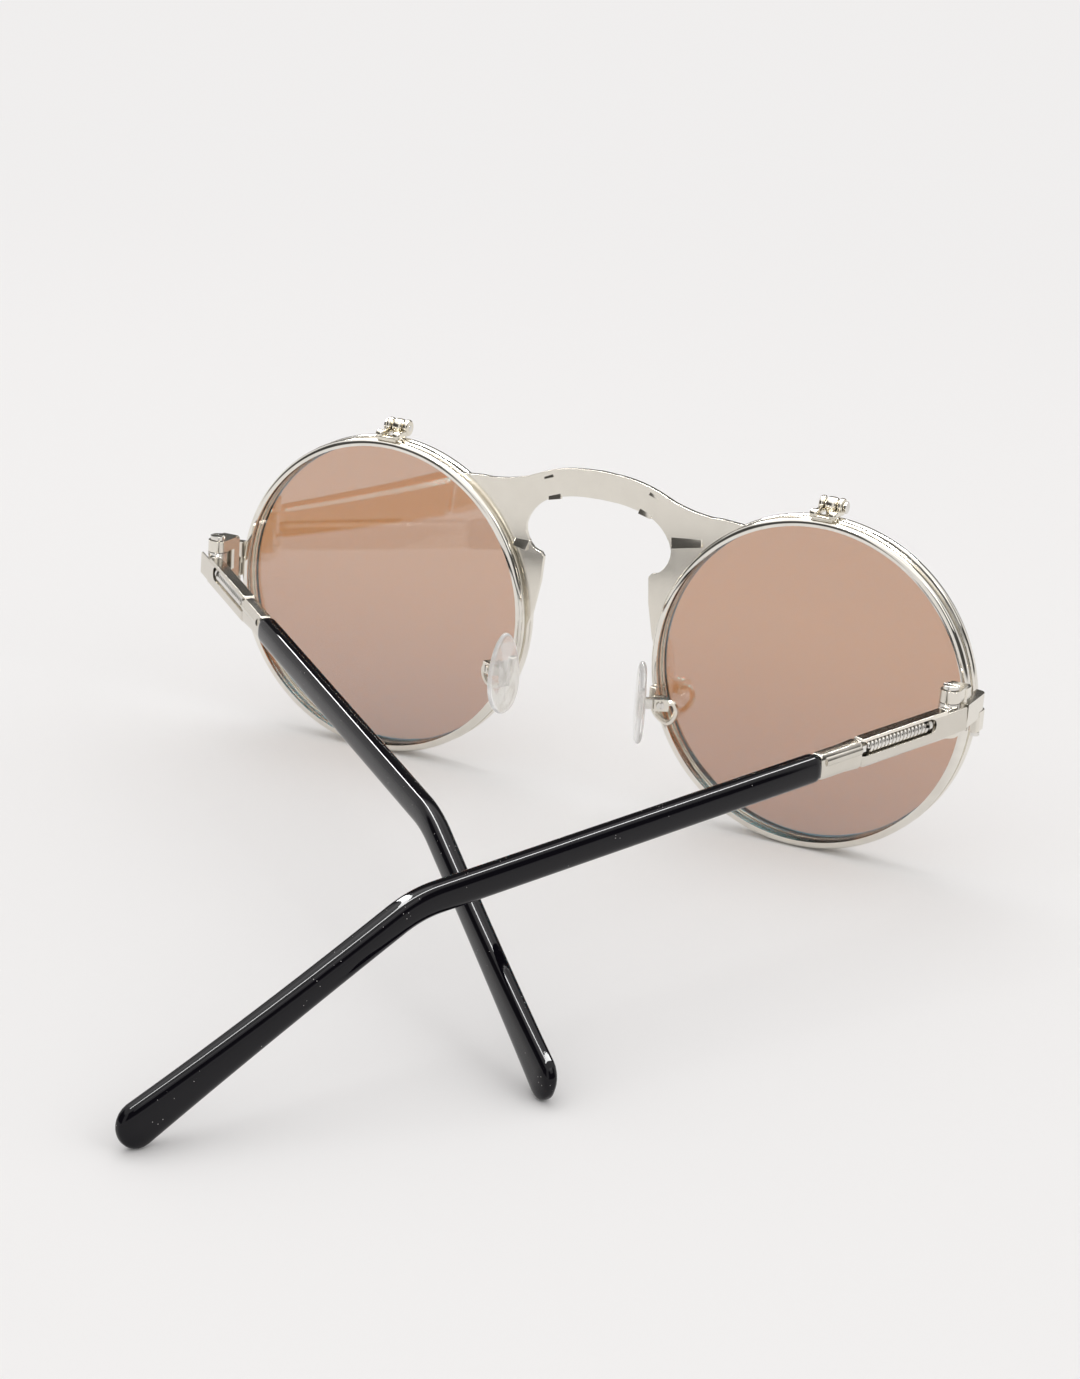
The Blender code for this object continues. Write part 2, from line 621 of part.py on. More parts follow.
def pad_arm():
    """The wire from the rim's nasal side to the fork that holds the pad, with its foot on the eyewire."""
    angle = math.radians(ARM_FOOT_DEG)
    rim = (SIGHT_RADIUS + EYEWIRE_RADIUS) / 2
    foot_x, foot_z = LENS_SIDE + rim * math.cos(angle), rim * math.sin(angle)
    face = EYEWIRE_MIDDLE + EYEWIRE_DEPTH / 2 + SOLDER_GAP
    foot = block(
        (foot_x - ARM_FOOT_WIDTH / 2, face, foot_z - ARM_FOOT_HEIGHT / 2),
        (foot_x + ARM_FOOT_WIDTH / 2, face + ARM_FOOT_DEPTH, foot_z + ARM_FOOT_HEIGHT / 2),
        EDGE_BREAK / 2,
    )
    pivot = Vector((PAD_PIVOT_SIDE, PAD_PIVOT_BACK, -PAD_PIVOT_DROP))
    away = Vector((math.sin(math.radians(PAD_SPLAY_DEG)), -math.cos(math.radians(PAD_SPLAY_DEG)), 0))
    web = FORK_REACH + FORK_WEB / 2
    start = Vector((foot_x, face + ARM_FOOT_DEPTH / 2, foot_z))
    low = start.z - ARM_LOOP_DROP
    route = [
        start,
        start - Vector((0, 0, ARM_FOOT_HEIGHT / 2)),
        Vector((foot_x + ARM_LOOP_SIDE / 4, start.y, low)),
        Vector((foot_x + ARM_LOOP_SIDE, start.y + ARM_FOOT_DEPTH / 2, low - ARM_LOOP_DROP / 4)),
        Vector((pivot.x, pivot.y, low + ARM_LOOP_DROP / 3)) + away * (web + ARM_LOOP_SIDE / 2),
        pivot + away * (web + ARM_LOOP_SIDE / 3),
        pivot + away * web,
    ]
    arm = wire(smooth_line(route, 4), ARM_WIRE_RADIUS)
    fork = pad_fork()
    fork.matrix_world = pad_matrix()
    arm = joined(arm, foot, fork)
    bore = cylinder((0, 0, 0), (1, 0, 0), PAD_SCREW_RADIUS + BORE_CLEARANCE, 4 * (TAB_WIDTH + FORK_CHEEK), PIN_STEPS)
    bore.matrix_world = pad_matrix()
    return cut(arm, bore)


def pad_matrix():
    """From the pad's own axes to the front: X along the screw, Y towards the nose, Z up."""
    turn = Matrix.Rotation(math.radians(PAD_SPLAY_DEG), 4, "Z")
    return Matrix.Translation((PAD_PIVOT_SIDE, PAD_PIVOT_BACK, -PAD_PIVOT_DROP)) @ turn


def pad_fork():
    """Two cheeks on a web, in the pad's own axes."""
    inner = TAB_WIDTH / 2 + FORK_GAP
    outer = inner + FORK_CHEEK
    shape = [
        (-outer, FORK_REACH),
        (-outer, -FORK_REACH - FORK_WEB),
        (outer, -FORK_REACH - FORK_WEB),
        (outer, FORK_REACH),
        (inner, FORK_REACH),
        (inner, -FORK_REACH),
        (-inner, -FORK_REACH),
        (-inner, FORK_REACH),
    ]
    return extruded([(x, y, -FORK_REACH) for x, y in shape], (0, 0, 2 * FORK_REACH))


def pad_screw():
    """The screw along the fork's X, in the pad's own axes, placed in the front."""
    reach = TAB_WIDTH / 2 + FORK_GAP + FORK_CHEEK
    made = slotted_screw(
        (0, 0, 0), PAD_HEAD_RADIUS, PAD_HEAD_HEIGHT, PAD_SCREW_RADIUS, 2 * reach, SOLDER_GAP
    )
    made.matrix_world = pad_matrix() @ Matrix.Translation((reach, 0, 0)) @ Matrix.Rotation(math.pi / 2, 4, "Y")
    return made


def nose_pad():
    """A crowned drop-shaped pad with the tab that goes into the fork, in the pad's own axes."""
    sections = []
    for share, depth in ((0.80, 0.0), (1.0, 0.35), (1.0, 0.65), (0.82, 1.0)):
        ring = []
        for k in range(SECTION_STEPS + 2):
            angle = math.tau * k / (SECTION_STEPS + 2)
            narrow = 1 - 0.18 * math.sin(angle)
            ring.append(
                Vector(
                    (
                        share * narrow * PAD_WIDTH / 2 * math.cos(angle),
                        PAD_STANDOFF + depth * PAD_THICKNESS,
                        share * PAD_HEIGHT / 2 * math.sin(angle),
                    )
                )
            )
        sections.append(ring)
    pad = lofted(sections)
    tab = block(
        (-TAB_WIDTH / 2, -TAB_BACK, -TAB_HEIGHT / 2),
        (TAB_WIDTH / 2, PAD_STANDOFF + PAD_THICKNESS / 2, TAB_HEIGHT / 2),
    )
    bore = cylinder((0, 0, 0), (1, 0, 0), PAD_SCREW_RADIUS + BORE_CLEARANCE, 2 * TAB_WIDTH, PIN_STEPS)
    return cut(joined(pad, tab), bore)


def hinge_carriage(pitch):
    """The centre knuckle with its neck and the spring rod, about the hinge axis."""
    knuckle = cylinder((0, 0, 0), (0, 0, 1), KNUCKLE_RADIUS, CENTRE_KNUCKLE_HEIGHT)
    neck_half = CENTRE_KNUCKLE_HEIGHT / 2 - EDGE_BREAK
    neck = block(
        (TEMPLE_INNER, KNUCKLE_RADIUS / 2, -neck_half),
        (ROD_OFFSET + ROD_RADIUS - BORE_CLEARANCE, TEMPLE_FRONT_START - NECK_GAP, neck_half),
    )
    rod_start = TEMPLE_FRONT_START - NECK_LENGTH
    rod_end = NUT_START + NUT_LENGTH / 2
    rod = cylinder((ROD_OFFSET, (rod_start + rod_end) / 2, 0), (0, 1, 0), ROD_RADIUS, rod_end - rod_start, PIN_STEPS)
    for piece in (neck, rod):
        piece.matrix_world = pitch
    bore = cylinder((0, 0, 0), (0, 0, 1), HINGE_SCREW_RADIUS + BORE_CLEARANCE, 2 * CENTRE_KNUCKLE_HEIGHT, PIN_STEPS)
    return cut(joined(knuckle, neck, rod), bore)


def temple_front():
    """The metal front part: a cover over the hinge, the rod's bore and the open spring slot."""
    low = -TEMPLE_DROP - TEMPLE_HEIGHT / 2
    high = low + TEMPLE_HEIGHT
    body = block((TEMPLE_INNER, TEMPLE_FRONT_START, low), (TEMPLE_OUTER, TEMPLE_FRONT_END, high), TEMPLE_EDGE)
    cover = block(
        (COVER_INNER, -COVER_REACH, low + EDGE_BREAK),
        (TEMPLE_OUTER - EDGE_BREAK / 3, TEMPLE_FRONT_START + TEMPLE_THICKNESS, high - EDGE_BREAK),
        EDGE_BREAK / 2,
    )
    body = joined(body, cover)
    floor = ROD_OFFSET - SPRING_MEAN_RADIUS - SPRING_WIRE_RADIUS - SLOT_FLOOR_GAP
    half = SPRING_SLOT_HEIGHT / 2
    round_end = circle((SLOT_START + half, 0), half, 90, 270, 30)
    outline = [(TEMPLE_FRONT_END + OVERRUN, half), *round_end, (TEMPLE_FRONT_END + OVERRUN, -half)]
    slot = extruded([(floor, y, z) for y, z in outline], (TEMPLE_THICKNESS, 0, 0))
    bore = cylinder(
        (ROD_OFFSET, (TEMPLE_FRONT_START + SLOT_START) / 2, 0),
        (0, 1, 0),
        ROD_RADIUS + ROD_CLEARANCE,
        2 * SLOT_START,
        PIN_STEPS,
    )
    return cut(body, slot, bore)


def ring_bush(start, length, radius):
    """A short collar round the rod."""
    middle = (ROD_OFFSET, start + length / 2, 0)
    collar = cylinder(middle, (0, 1, 0), radius, length, BARREL_STEPS)
    bore = cylinder(middle, (0, 1, 0), ROD_RADIUS + ROD_CLEARANCE, 3 * length, PIN_STEPS)
    return cut(collar, bore)


def spring_nut():
    """The nut at the rod's end: a six-sided collar."""
    middle = (ROD_OFFSET, NUT_START + NUT_LENGTH / 2, 0)
    nut = cylinder(middle, (0, 1, 0), NUT_RADIUS, NUT_LENGTH, 6)
    bore = cylinder(middle, (0, 1, 0), ROD_RADIUS + ROD_CLEARANCE, 3 * NUT_LENGTH, PIN_STEPS)
    return cut(nut, bore)


def seat_span():
    """Start and length of the bush between the slot's front wall and the coil."""
    half = SPRING_SLOT_HEIGHT / 2
    start = SLOT_START + half - math.sqrt(half**2 - (SEAT_RADIUS + SPRING_GAP) ** 2)
    coil_length = coil_points()[-1].y - coil_points()[0].y
    end = NUT_START - SPRING_GAP - coil_length - SPRING_GAP
    return start, end - start


def coil_points():
    """The spring's centre line along Y from zero: a helix whose ends turn and run straight."""
    curve_steps = 4
    pitch_angle = math.atan2(SPRING_PITCH, math.tau * SPRING_MEAN_RADIUS)
    angle, rise, points = 0.0, SPRING_STRAIGHT, []
    lead = [(angle, 0.0), (angle, rise)]
    for k in range(curve_steps):
        slope = pitch_angle + (math.pi / 2 - pitch_angle) * (1 - (k + 0.5) / curve_steps)
        step = SPRING_TURN_LENGTH / curve_steps
        angle += step * math.cos(slope) / SPRING_MEAN_RADIUS
        rise += step * math.sin(slope)
        lead.append((angle, rise))
    steps = round(SPRING_TURNS * CURL_STEPS)
    for k in range(1, steps + 1):
        lead.append((angle + math.tau * k / CURL_STEPS, rise + SPRING_PITCH * k / CURL_STEPS))
    last_angle, last_rise = lead[-1]
    start_angle, total = lead[curve_steps + 1]
    tail = [(last_angle + start_angle - a, last_rise + total - r) for a, r in reversed(lead[: curve_steps + 1])]
    for a, r in lead + tail:
        points.append(Vector((SPRING_MEAN_RADIUS * math.cos(a), r, SPRING_MEAN_RADIUS * math.sin(a))))
    return points


def coil_gap(points):
    """Least gap of the coil to itself, between points that are at least half a curl of wire apart."""
    runs = [0.0]
    for a, b in zip(points, points[1:]):
        runs.append(runs[-1] + (b - a).length)
    half_curl = math.pi * SPRING_MEAN_RADIUS
    nearest = min(
        (a - b).length
        for a, run_a in zip(points, runs)
        for b, run_b in zip(points, runs)
        if run_b - run_a > half_curl
    )
    return nearest - 2 * SPRING_WIRE_RADIUS


def coil_spring():
    """The spring round the rod, one unbroken wire."""
    points = coil_points()
    end = NUT_START - SPRING_GAP
    shift = Vector((ROD_OFFSET, end - points[-1].y, 0))
    print("coil spring: least gap to itself", round(coil_gap(points), 6))
    return wire([point + shift for point in points], SPRING_WIRE_RADIUS)


def rounded_section(place, along, half_height, half_thickness, steps=SECTION_STEPS, power=0.72):
    """Points of a rounded flat section across the direction along, which lies in the YZ plane."""
    up = Vector((0, -along.z, along.y))
    points = []
    for k in range(steps):
        angle = math.tau * (k + 0.5) / steps
        c, s = math.cos(angle), math.sin(angle)
        across = math.copysign(abs(c) ** power, c) * half_thickness
        rise = math.copysign(abs(s) ** power, s) * half_height
        points.append(place + Vector((across, 0, 0)) + up * rise)
    return points


def ferrule():
    """The waisted collar between temple front and sleeve, with its half-round ridge and the core's socket."""
    along = Vector((0, 1, 0))
    sections = []
    for share, waist in FERRULE_SECTION_SHARES:
        place = Vector((TEMPLE_OFFSET, FERRULE_START + share * FERRULE_LENGTH, -TEMPLE_DROP))
        sections.append(
            rounded_section(place, along, waist * TEMPLE_HEIGHT / 2, waist * TEMPLE_THICKNESS / 2, power=0.5)
        )
    body = lofted(sections)
    end = FERRULE_START + FERRULE_LENGTH
    ridge_x = TEMPLE_OFFSET + FERRULE_WAIST_SHARE * TEMPLE_THICKNESS / 2 + RIDGE_PROUD - RIDGE_RADIUS
    ridge_start = FERRULE_START + SOLDER_GAP
    ridge_length = FERRULE_LENGTH * RIDGE_SHARE
    ridge = cylinder((ridge_x, ridge_start + ridge_length / 2, 0), along, RIDGE_RADIUS, ridge_length, BARREL_STEPS)
    socket = cylinder(
        (TEMPLE_OFFSET, end - CORE_SOCKET / 2 + OVERRUN, -TEMPLE_DROP),
        along,
        CORE_RADIUS + CORE_CLEARANCE,
        CORE_SOCKET + 2 * OVERRUN,
        PIN_STEPS,
    )
    return cut(joined(body, ridge), socket)


def sleeve_route(start, end_margin):
    """Places and directions along the sleeve: straight, round the bend and down the tip."""
    full_turn = math.radians(TIP_DEG)
    setback = BEND_RADIUS * math.tan(full_turn / 2)
    bend_start = STRAIGHT_LENGTH - setback
    centre = Vector((TEMPLE_OFFSET, bend_start, -TEMPLE_DROP - BEND_RADIUS))
    route = []
    for k in range(ROUTE_STEPS):
        y = start + (bend_start - start) * k / ROUTE_STEPS
        route.append((Vector((TEMPLE_OFFSET, y, -TEMPLE_DROP)), Vector((0, 1, 0))))
    for k in range(ROUTE_STEPS + 1):
        turn = full_turn * k / ROUTE_STEPS
        place = centre + BEND_RADIUS * Vector((0, math.sin(turn), math.cos(turn)))
        route.append((place, Vector((0, math.cos(turn), -math.sin(turn)))))
    corner, along = route[-1]
    run = TIP_LENGTH - setback - end_margin
    for k in range(1, TIP_STEPS + 1):
        route.append((corner + along * run * k / TIP_STEPS, along))
    return route


def temple_sleeve():
    """The glossy sleeve: a rounded bar that bends down and spreads into a flat tip with a round end."""
    route = sleeve_route(SLEEVE_START, TIP_END_LENGTH)
    first, forward = route[0]
    collar = (SLEEVE_HEIGHT * COLLAR_SHARE / 2, SLEEVE_THICKNESS * COLLAR_SHARE / 2)
    sections = [
        rounded_section(first, forward, *collar),
        rounded_section(first + forward * SLEEVE_ROUND_LENGTH, forward, SLEEVE_HEIGHT / 2, SLEEVE_THICKNESS / 2),
    ]
    bend_end = route[2 * ROUTE_STEPS][0]
    tip_start, along = route[-1]
    tip_run = (tip_start - bend_end).length
    for place, direction in route[1:]:
        share = (place - bend_end).length / tip_run if place.y > bend_end.y else 0.0
        spread = min(1.0, share / TIP_SPREAD_SHARE)
        height = SLEEVE_HEIGHT + (TIP_HEIGHT - SLEEVE_HEIGHT) * spread**TIP_SPREAD_POWER
        thickness = SLEEVE_THICKNESS + (TIP_THICKNESS - SLEEVE_THICKNESS) * spread
        sections.append(rounded_section(place, direction, height / 2, thickness / 2))
    for turn_deg in TIP_END_DEGS:
        turn = math.radians(turn_deg)
        place = tip_start + along * TIP_END_LENGTH * math.sin(turn)
        sections.append(
            rounded_section(place, along, TIP_HEIGHT / 2 * math.cos(turn), TIP_THICKNESS / 2 * math.cos(turn))
        )
    bore = core_solid(SLEEVE_START - OVERRUN, CORE_END_MARGIN - OVERRUN, CORE_RADIUS + CORE_CLEARANCE)
    return cut(lofted(sections), bore)


def core_solid(start, end_margin, radius):
    """A round wire along the sleeve's middle."""
    sections = [
        rounded_section(place, along, radius, radius, PIN_STEPS, 1.0) for place, along in sleeve_route(start, end_margin)
    ]
    return lofted(sections)


def core_wire():
    """The wire inside the sleeve, held in the ferrule's socket."""
    start = FERRULE_START + FERRULE_LENGTH - CORE_SOCKET + CORE_CLEARANCE
    return core_solid(start, CORE_END_MARGIN, CORE_RADIUS)


def floor_pitch(sleeve):
    """How far the temples lean down so that their tips reach the level of the rings' lowest points."""
    drop = PLATE_RADIUS + HINGE_RAISE
    leans = []
    for vert in sleeve.data.vertices:
        reach = math.hypot(vert.co.y, vert.co.z)
        if reach > drop:
            leans.append(math.atan2(vert.co.z, vert.co.y) + math.asin(drop / reach))
    return Matrix.Rotation(-min(leans), 4, "X")


def build_side(side, stand, finishes):
    """All pieces of one side, each under the empty that it moves with."""
    chrome, silver, clear, mirror, pad, black, steel = finishes
    placed(grooved_ring(EYEWIRE_MIDDLE, EYEWIRE_RADIUS, EYEWIRE_DEPTH), "eyewire", side, stand, chrome)
    placed(lens(EYEWIRE_MIDDLE), "clear_lens", side, stand, clear)
    placed(flip_hinge_base(), "flip_hinge_base", side, stand, silver)
    placed(flip_pin(), "flip_hinge_pin", side, stand, steel)
    placed(end_piece(), "end_piece", side, stand, silver)
    placed(hinge_screw(), "hinge_screw", side, stand, steel)
    placed(rim_screw(), "rim_screw", side, stand, steel)
    placed(pad_arm(), "pad_arm", side, stand, silver)
    placed(pad_screw(), "pad_screw", side, stand, steel)

    flip_place = Vector((LENS_SIDE, FLIP_AXIS_BACK, FLIP_AXIS_UP))
    flip = axis_empty("flip_axis", side, flip_place, stand)
    for made, name, finish in ((flip_rim(), "flip_rim", chrome), (lens(FLIP_RIM_MIDDLE), "flip_lens", mirror)):
        made.matrix_world = Matrix.Translation(-flip_place)
        placed(made, name, side, flip, finish)

    pad_place = (PAD_PIVOT_SIDE, PAD_PIVOT_BACK, -PAD_PIVOT_DROP)
    pad_axis = axis_empty("pad_axis", side, pad_place, stand, PAD_SPLAY_DEG)
    placed(nose_pad(), "nose_pad", side, pad_axis, pad)

    fold_place = (HINGE_SIDE, HINGE_BACK, HINGE_RAISE)
    fold = axis_empty("fold_axis", side, fold_place, stand, OPEN_FOLD_DEG - side.fold_deg)
    sleeve = temple_sleeve()
    pitch = floor_pitch(sleeve)
    placed(hinge_carriage(pitch), "hinge_carriage", side, fold, steel)
    start, length = seat_span()
    leaning = [
        (ring_bush(start, length, SEAT_RADIUS), "spring_seat", steel),
        (coil_spring(), "coil_spring", steel),
        (spring_nut(), "spring_nut", steel),
        (temple_front(), "temple_front", silver),
        (ferrule(), "ferrule", silver),
        (core_wire(), "core_wire", steel),
        (sleeve, "temple_sleeve", black),
    ]
    for made, name, finish in leaning:
        made.matrix_world = pitch
        placed(made, name, side, fold, finish)


def stand_on_floor(stand):
    """Move the whole object so that the middle of its underside is the world's origin."""
    bpy.context.view_layer.update()
    corners = []
    for made in bpy.context.scene.objects:
        if made.type == "MESH":
            corners += [made.matrix_world @ vert.co for vert in made.data.vertices]
    low = [min(c[k] for c in corners) for k in range(3)]
    high = [max(c[k] for c in corners) for k in range(3)]
    stand.location = (-(low[0] + high[0]) / 2, -(low[1] + high[1]) / 2, -low[2])


def build():
    """Clear the scene and model the glasses."""
    for old in list(bpy.data.objects):
        bpy.data.objects.remove(old)
    silver = material("silver_plate", (0.78, 0.76, 0.70), 0.18, 1.0)
    chrome = material("polished_rim", (0.84, 0.83, 0.80), 0.08, 1.0)
    steel = material("spring_steel", (0.80, 0.80, 0.79), 0.20, 1.0)
    clear = material("clear_lens", (1.0, 1.0, 1.0), 0.0, 0.0, 1.0)
    mirror = material("rose_mirror", (0.66, 0.42, 0.32), 0.04, 0.6)
    pad = material("clear_pad", (0.93, 0.93, 0.92), 0.12, 0.0, 0.8)
    black = material("black_sleeve", (0.010, 0.010, 0.012), 0.06, 0.0)
    stand = axis_empty("stand", Side("", 1, 0), (0, 0, 0), None)
    front_frame(stand, silver)
    for side in (LEFT, RIGHT):
        build_side(side, stand, (chrome, silver, clear, mirror, pad, black, steel))
    stand_on_floor(stand)


build()
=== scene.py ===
"""Round flip-up sunglasses standing on a pale floor with their temples folded.

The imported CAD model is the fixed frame. This script gives every piece its finish, replaces the soft
nose pads, and models rounder rims, lenses and sleeves over the plain solids. Lengths are in metres, in
the CAD model's own frame.
"""

import logging
import math
from collections.abc import Callable, Iterator
from contextlib import contextmanager
from dataclasses import dataclass
from enum import Enum

import bpy
from mathutils import Matrix, Vector


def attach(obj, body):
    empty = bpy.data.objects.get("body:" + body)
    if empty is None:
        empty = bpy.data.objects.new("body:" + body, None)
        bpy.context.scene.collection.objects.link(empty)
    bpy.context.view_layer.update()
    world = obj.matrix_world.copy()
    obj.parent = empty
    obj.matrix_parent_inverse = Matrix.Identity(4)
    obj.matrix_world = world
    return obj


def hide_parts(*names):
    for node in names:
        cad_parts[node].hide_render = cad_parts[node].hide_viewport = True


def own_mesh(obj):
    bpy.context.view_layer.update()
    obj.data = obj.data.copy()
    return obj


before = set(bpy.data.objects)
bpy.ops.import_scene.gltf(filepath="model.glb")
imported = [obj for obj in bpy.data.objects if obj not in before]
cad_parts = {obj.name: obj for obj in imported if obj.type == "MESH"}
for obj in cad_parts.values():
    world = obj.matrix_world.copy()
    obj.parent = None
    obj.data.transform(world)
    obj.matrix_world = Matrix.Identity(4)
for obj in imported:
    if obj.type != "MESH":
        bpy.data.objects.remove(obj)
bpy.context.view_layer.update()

logging.basicConfig(level=logging.INFO, format="%(message)s")
log = logging.getLogger("sunglasses")

Piece = bpy.types.Object
Socket = bpy.types.NodeSocket
Tree = bpy.types.NodeTree
Triple = tuple[float, float, float]

SAME_PLACE = 0.000001
ROUND_DEG = 60.0
SOFT_DEG = 50.0
CRISP_DEG = 40.0
BEVEL_FROM_DEG = 30.0
FACING_X = (0.0, math.pi / 2, 0.0)
FACING_Y = (math.pi / 2, 0.0, 0.0)
WEAR_EDGE = (0.36, 0.68)
SPECK_CLOUD_SCALE = 260.0
SPECKS_OVER = 0.58


class Side(Enum):
    """The wearer's left and right, with the sign of X on each side."""

    LEFT = ("left", 1.0)
    RIGHT = ("right", -1.0)

    @property
    def sign(self) -> float:
        """+1 on the wearer's left, -1 on the right."""
        return self.value[1]

    def node(self, name: str) -> str:
        """The full name of this side's node or body."""
        return f"{self.value[0]}_{name}"


class Slot(Enum):
    """The record's material slots."""

    PLATE = "silver_plate"
    RIM = "polished_rim"
    STEEL = "spring_steel"
    CLEAR = "clear_lens"
    MIRROR = "rose_mirror"
    PAD = "clear_pad"
    SLEEVE = "black_sleeve"


@dataclass(frozen=True)
class FaceFrame:
    """The glasses' own frame: the middle of the bridge, on the plate's rear face, at lens height."""

    origin: Triple = (-0.000011, -0.06813, 0.0252)
    lens_side: float = 0.03595
    hinge: Triple = (0.06055, 0.0098, 0.0033)
    pad_pivot: Triple = (0.0140, 0.0042, -0.0065)
    flip_axis_back: float = -0.0024167
    flip_axis_up: float = 0.0266

    def world(self, side: Side, x: float, y: float, z: float) -> Vector:
        """A point given outwards, back and up from the bridge, in the CAD model's frame."""
        return Vector(self.origin) + Vector((side.sign * x, y, z))

    def lens_centre(self, side: Side, depth: float) -> Vector:
        """The middle of one lens, that far behind the plate's rear face."""
        return self.world(side, self.lens_side, depth, 0.0)

    def beside(self, side: Side) -> Matrix:
        """From the left half's own axes to one side; it mirrors the right side."""
        return Matrix.Translation(self.origin) @ Matrix.Diagonal((side.sign, 1, 1, 1))


FACE = FaceFrame()


# Shader nodes


def add_node(tree: Tree, kind: str, numbers: dict | None = None, **settings: object) -> bpy.types.Node:
    """Add a shader node.

    Args:
        tree: Where it goes.
        kind: Its type, without the first word ShaderNode.
        numbers: What its inputs are set to, by name.
        **settings: Its other properties.

    Returns:
        The node.
    """
    made = tree.nodes.new(f"ShaderNode{kind}")
    for label, value in settings.items():
        setattr(made, label, value)
    for label, value in (numbers or {}).items():
        made.inputs[label].default_value = value
    return made


def math_node(tree: Tree, operation: str, *sources: Socket | float) -> Socket:
    """One Math node on the given sockets and plain numbers."""
    made = add_node(tree, "Math", operation=operation)
    for socket, source in zip(made.inputs, sources):
        if isinstance(source, float):
            socket.default_value = source
        else:
            tree.links.new(source, socket)
    return made.outputs[0]


def soft_step(tree: Tree, value: Socket, low: float, high: float) -> Socket:
    """A soft step from 0 at low to 1 at high."""
    numbers = {"From Min": low, "From Max": high}
    made = add_node(tree, "MapRange", numbers, interpolation_type="SMOOTHSTEP")
    tree.links.new(value, made.inputs["Value"])
    return made.outputs["Result"]


def new_group(name: str, numbers: dict[str, float], output: str) -> tuple[Tree, bpy.types.Node, Socket]:
    """Start a shader node group that takes a Vector and some numbers and gives one number.

    Args:
        name: The group's name.
        numbers: The default of each number, by name.
        output: The result's name.

    Returns:
        The group's node tree, its input node and the socket for the result.
    """
    tree = bpy.data.node_groups.new(name, "ShaderNodeTree")
    tree.interface.new_socket("Vector", in_out="INPUT", socket_type="NodeSocketVector")
    for label, start in numbers.items():
        socket = tree.interface.new_socket(label, in_out="INPUT", socket_type="NodeSocketFloat")
        socket.default_value = start
    tree.interface.new_socket(output, in_out="OUTPUT", socket_type="NodeSocketFloat")
    entry = tree.nodes.new("NodeGroupInput")
    leave = tree.nodes.new("NodeGroupOutput")
    return tree, entry, leave.inputs[output]


def brushed_grain_group() -> Tree:
    """Fine lines along the vector's third direction.

    Returns:
        A group with a Vector and a Scale, that gives Lines.
    """
    tree, entry, result = new_group("brushed grain", {"Scale": 9000.0}, "Lines")
    stretch = add_node(tree, "Mapping", {"Scale": (1.0, 1.0, 0.04)})
    noise = add_node(tree, "TexNoise", {"Detail": 3.0})
    link = tree.links.new
    link(entry.outputs["Vector"], stretch.inputs["Vector"])
    link(stretch.outputs["Vector"], noise.inputs["Vector"])
    link(entry.outputs["Scale"], noise.inputs["Scale"])
    link(noise.outputs["Fac"], result)
    return tree


def handled_wear_group() -> Tree:
    """Faint patches left by handling: a slow cloud broken up by a fine one.

    Returns:
        A group with a Vector, a Scale, a Low and a High, that gives Mask from Low to High.
    """
    tree, entry, result = new_group("handled wear", {"Scale": 140.0, "Low": 0.0, "High": 1.0}, "Mask")
    cloud = add_node(tree, "TexNoise", {"Detail": 6.0, "Roughness": 0.62, "Distortion": 0.6})
    mask = soft_step(tree, cloud.outputs["Fac"], *WEAR_EDGE)
    link = tree.links.new
    link(entry.outputs["Vector"], cloud.inputs["Vector"])
    link(entry.outputs["Scale"], cloud.inputs["Scale"])
    link(entry.outputs["Low"], mask.node.inputs["To Min"])
    link(entry.outputs["High"], mask.node.inputs["To Max"])
    link(mask, result)
    return tree


def dust_specks_group() -> Tree:
    """Tiny specks with clear space between them.

    Returns:
        A group with a Vector, a Scale and a Size, that gives Mask, 1 on a speck.
    """
    tree, entry, result = new_group("dust specks", {"Scale": 900.0, "Size": 0.08}, "Mask")
    cells = add_node(tree, "TexVoronoi")
    few = add_node(tree, "TexNoise", {"Scale": SPECK_CLOUD_SCALE})
    inside = math_node(tree, "LESS_THAN", cells.outputs["Distance"], entry.outputs["Size"])
    gate = math_node(tree, "GREATER_THAN", few.outputs["Fac"], SPECKS_OVER)
    link = tree.links.new
    link(entry.outputs["Vector"], cells.inputs["Vector"])
    link(entry.outputs["Vector"], few.inputs["Vector"])
    link(entry.outputs["Scale"], cells.inputs["Scale"])
    link(math_node(tree, "MULTIPLY", inside, gate), result)
    return tree


class Effects:
    """The shared node groups, each made once."""

    def __init__(self) -> None:
        """Build the groups."""
        self.grain = brushed_grain_group()
        self.wear = handled_wear_group()
        self.specks = dust_specks_group()


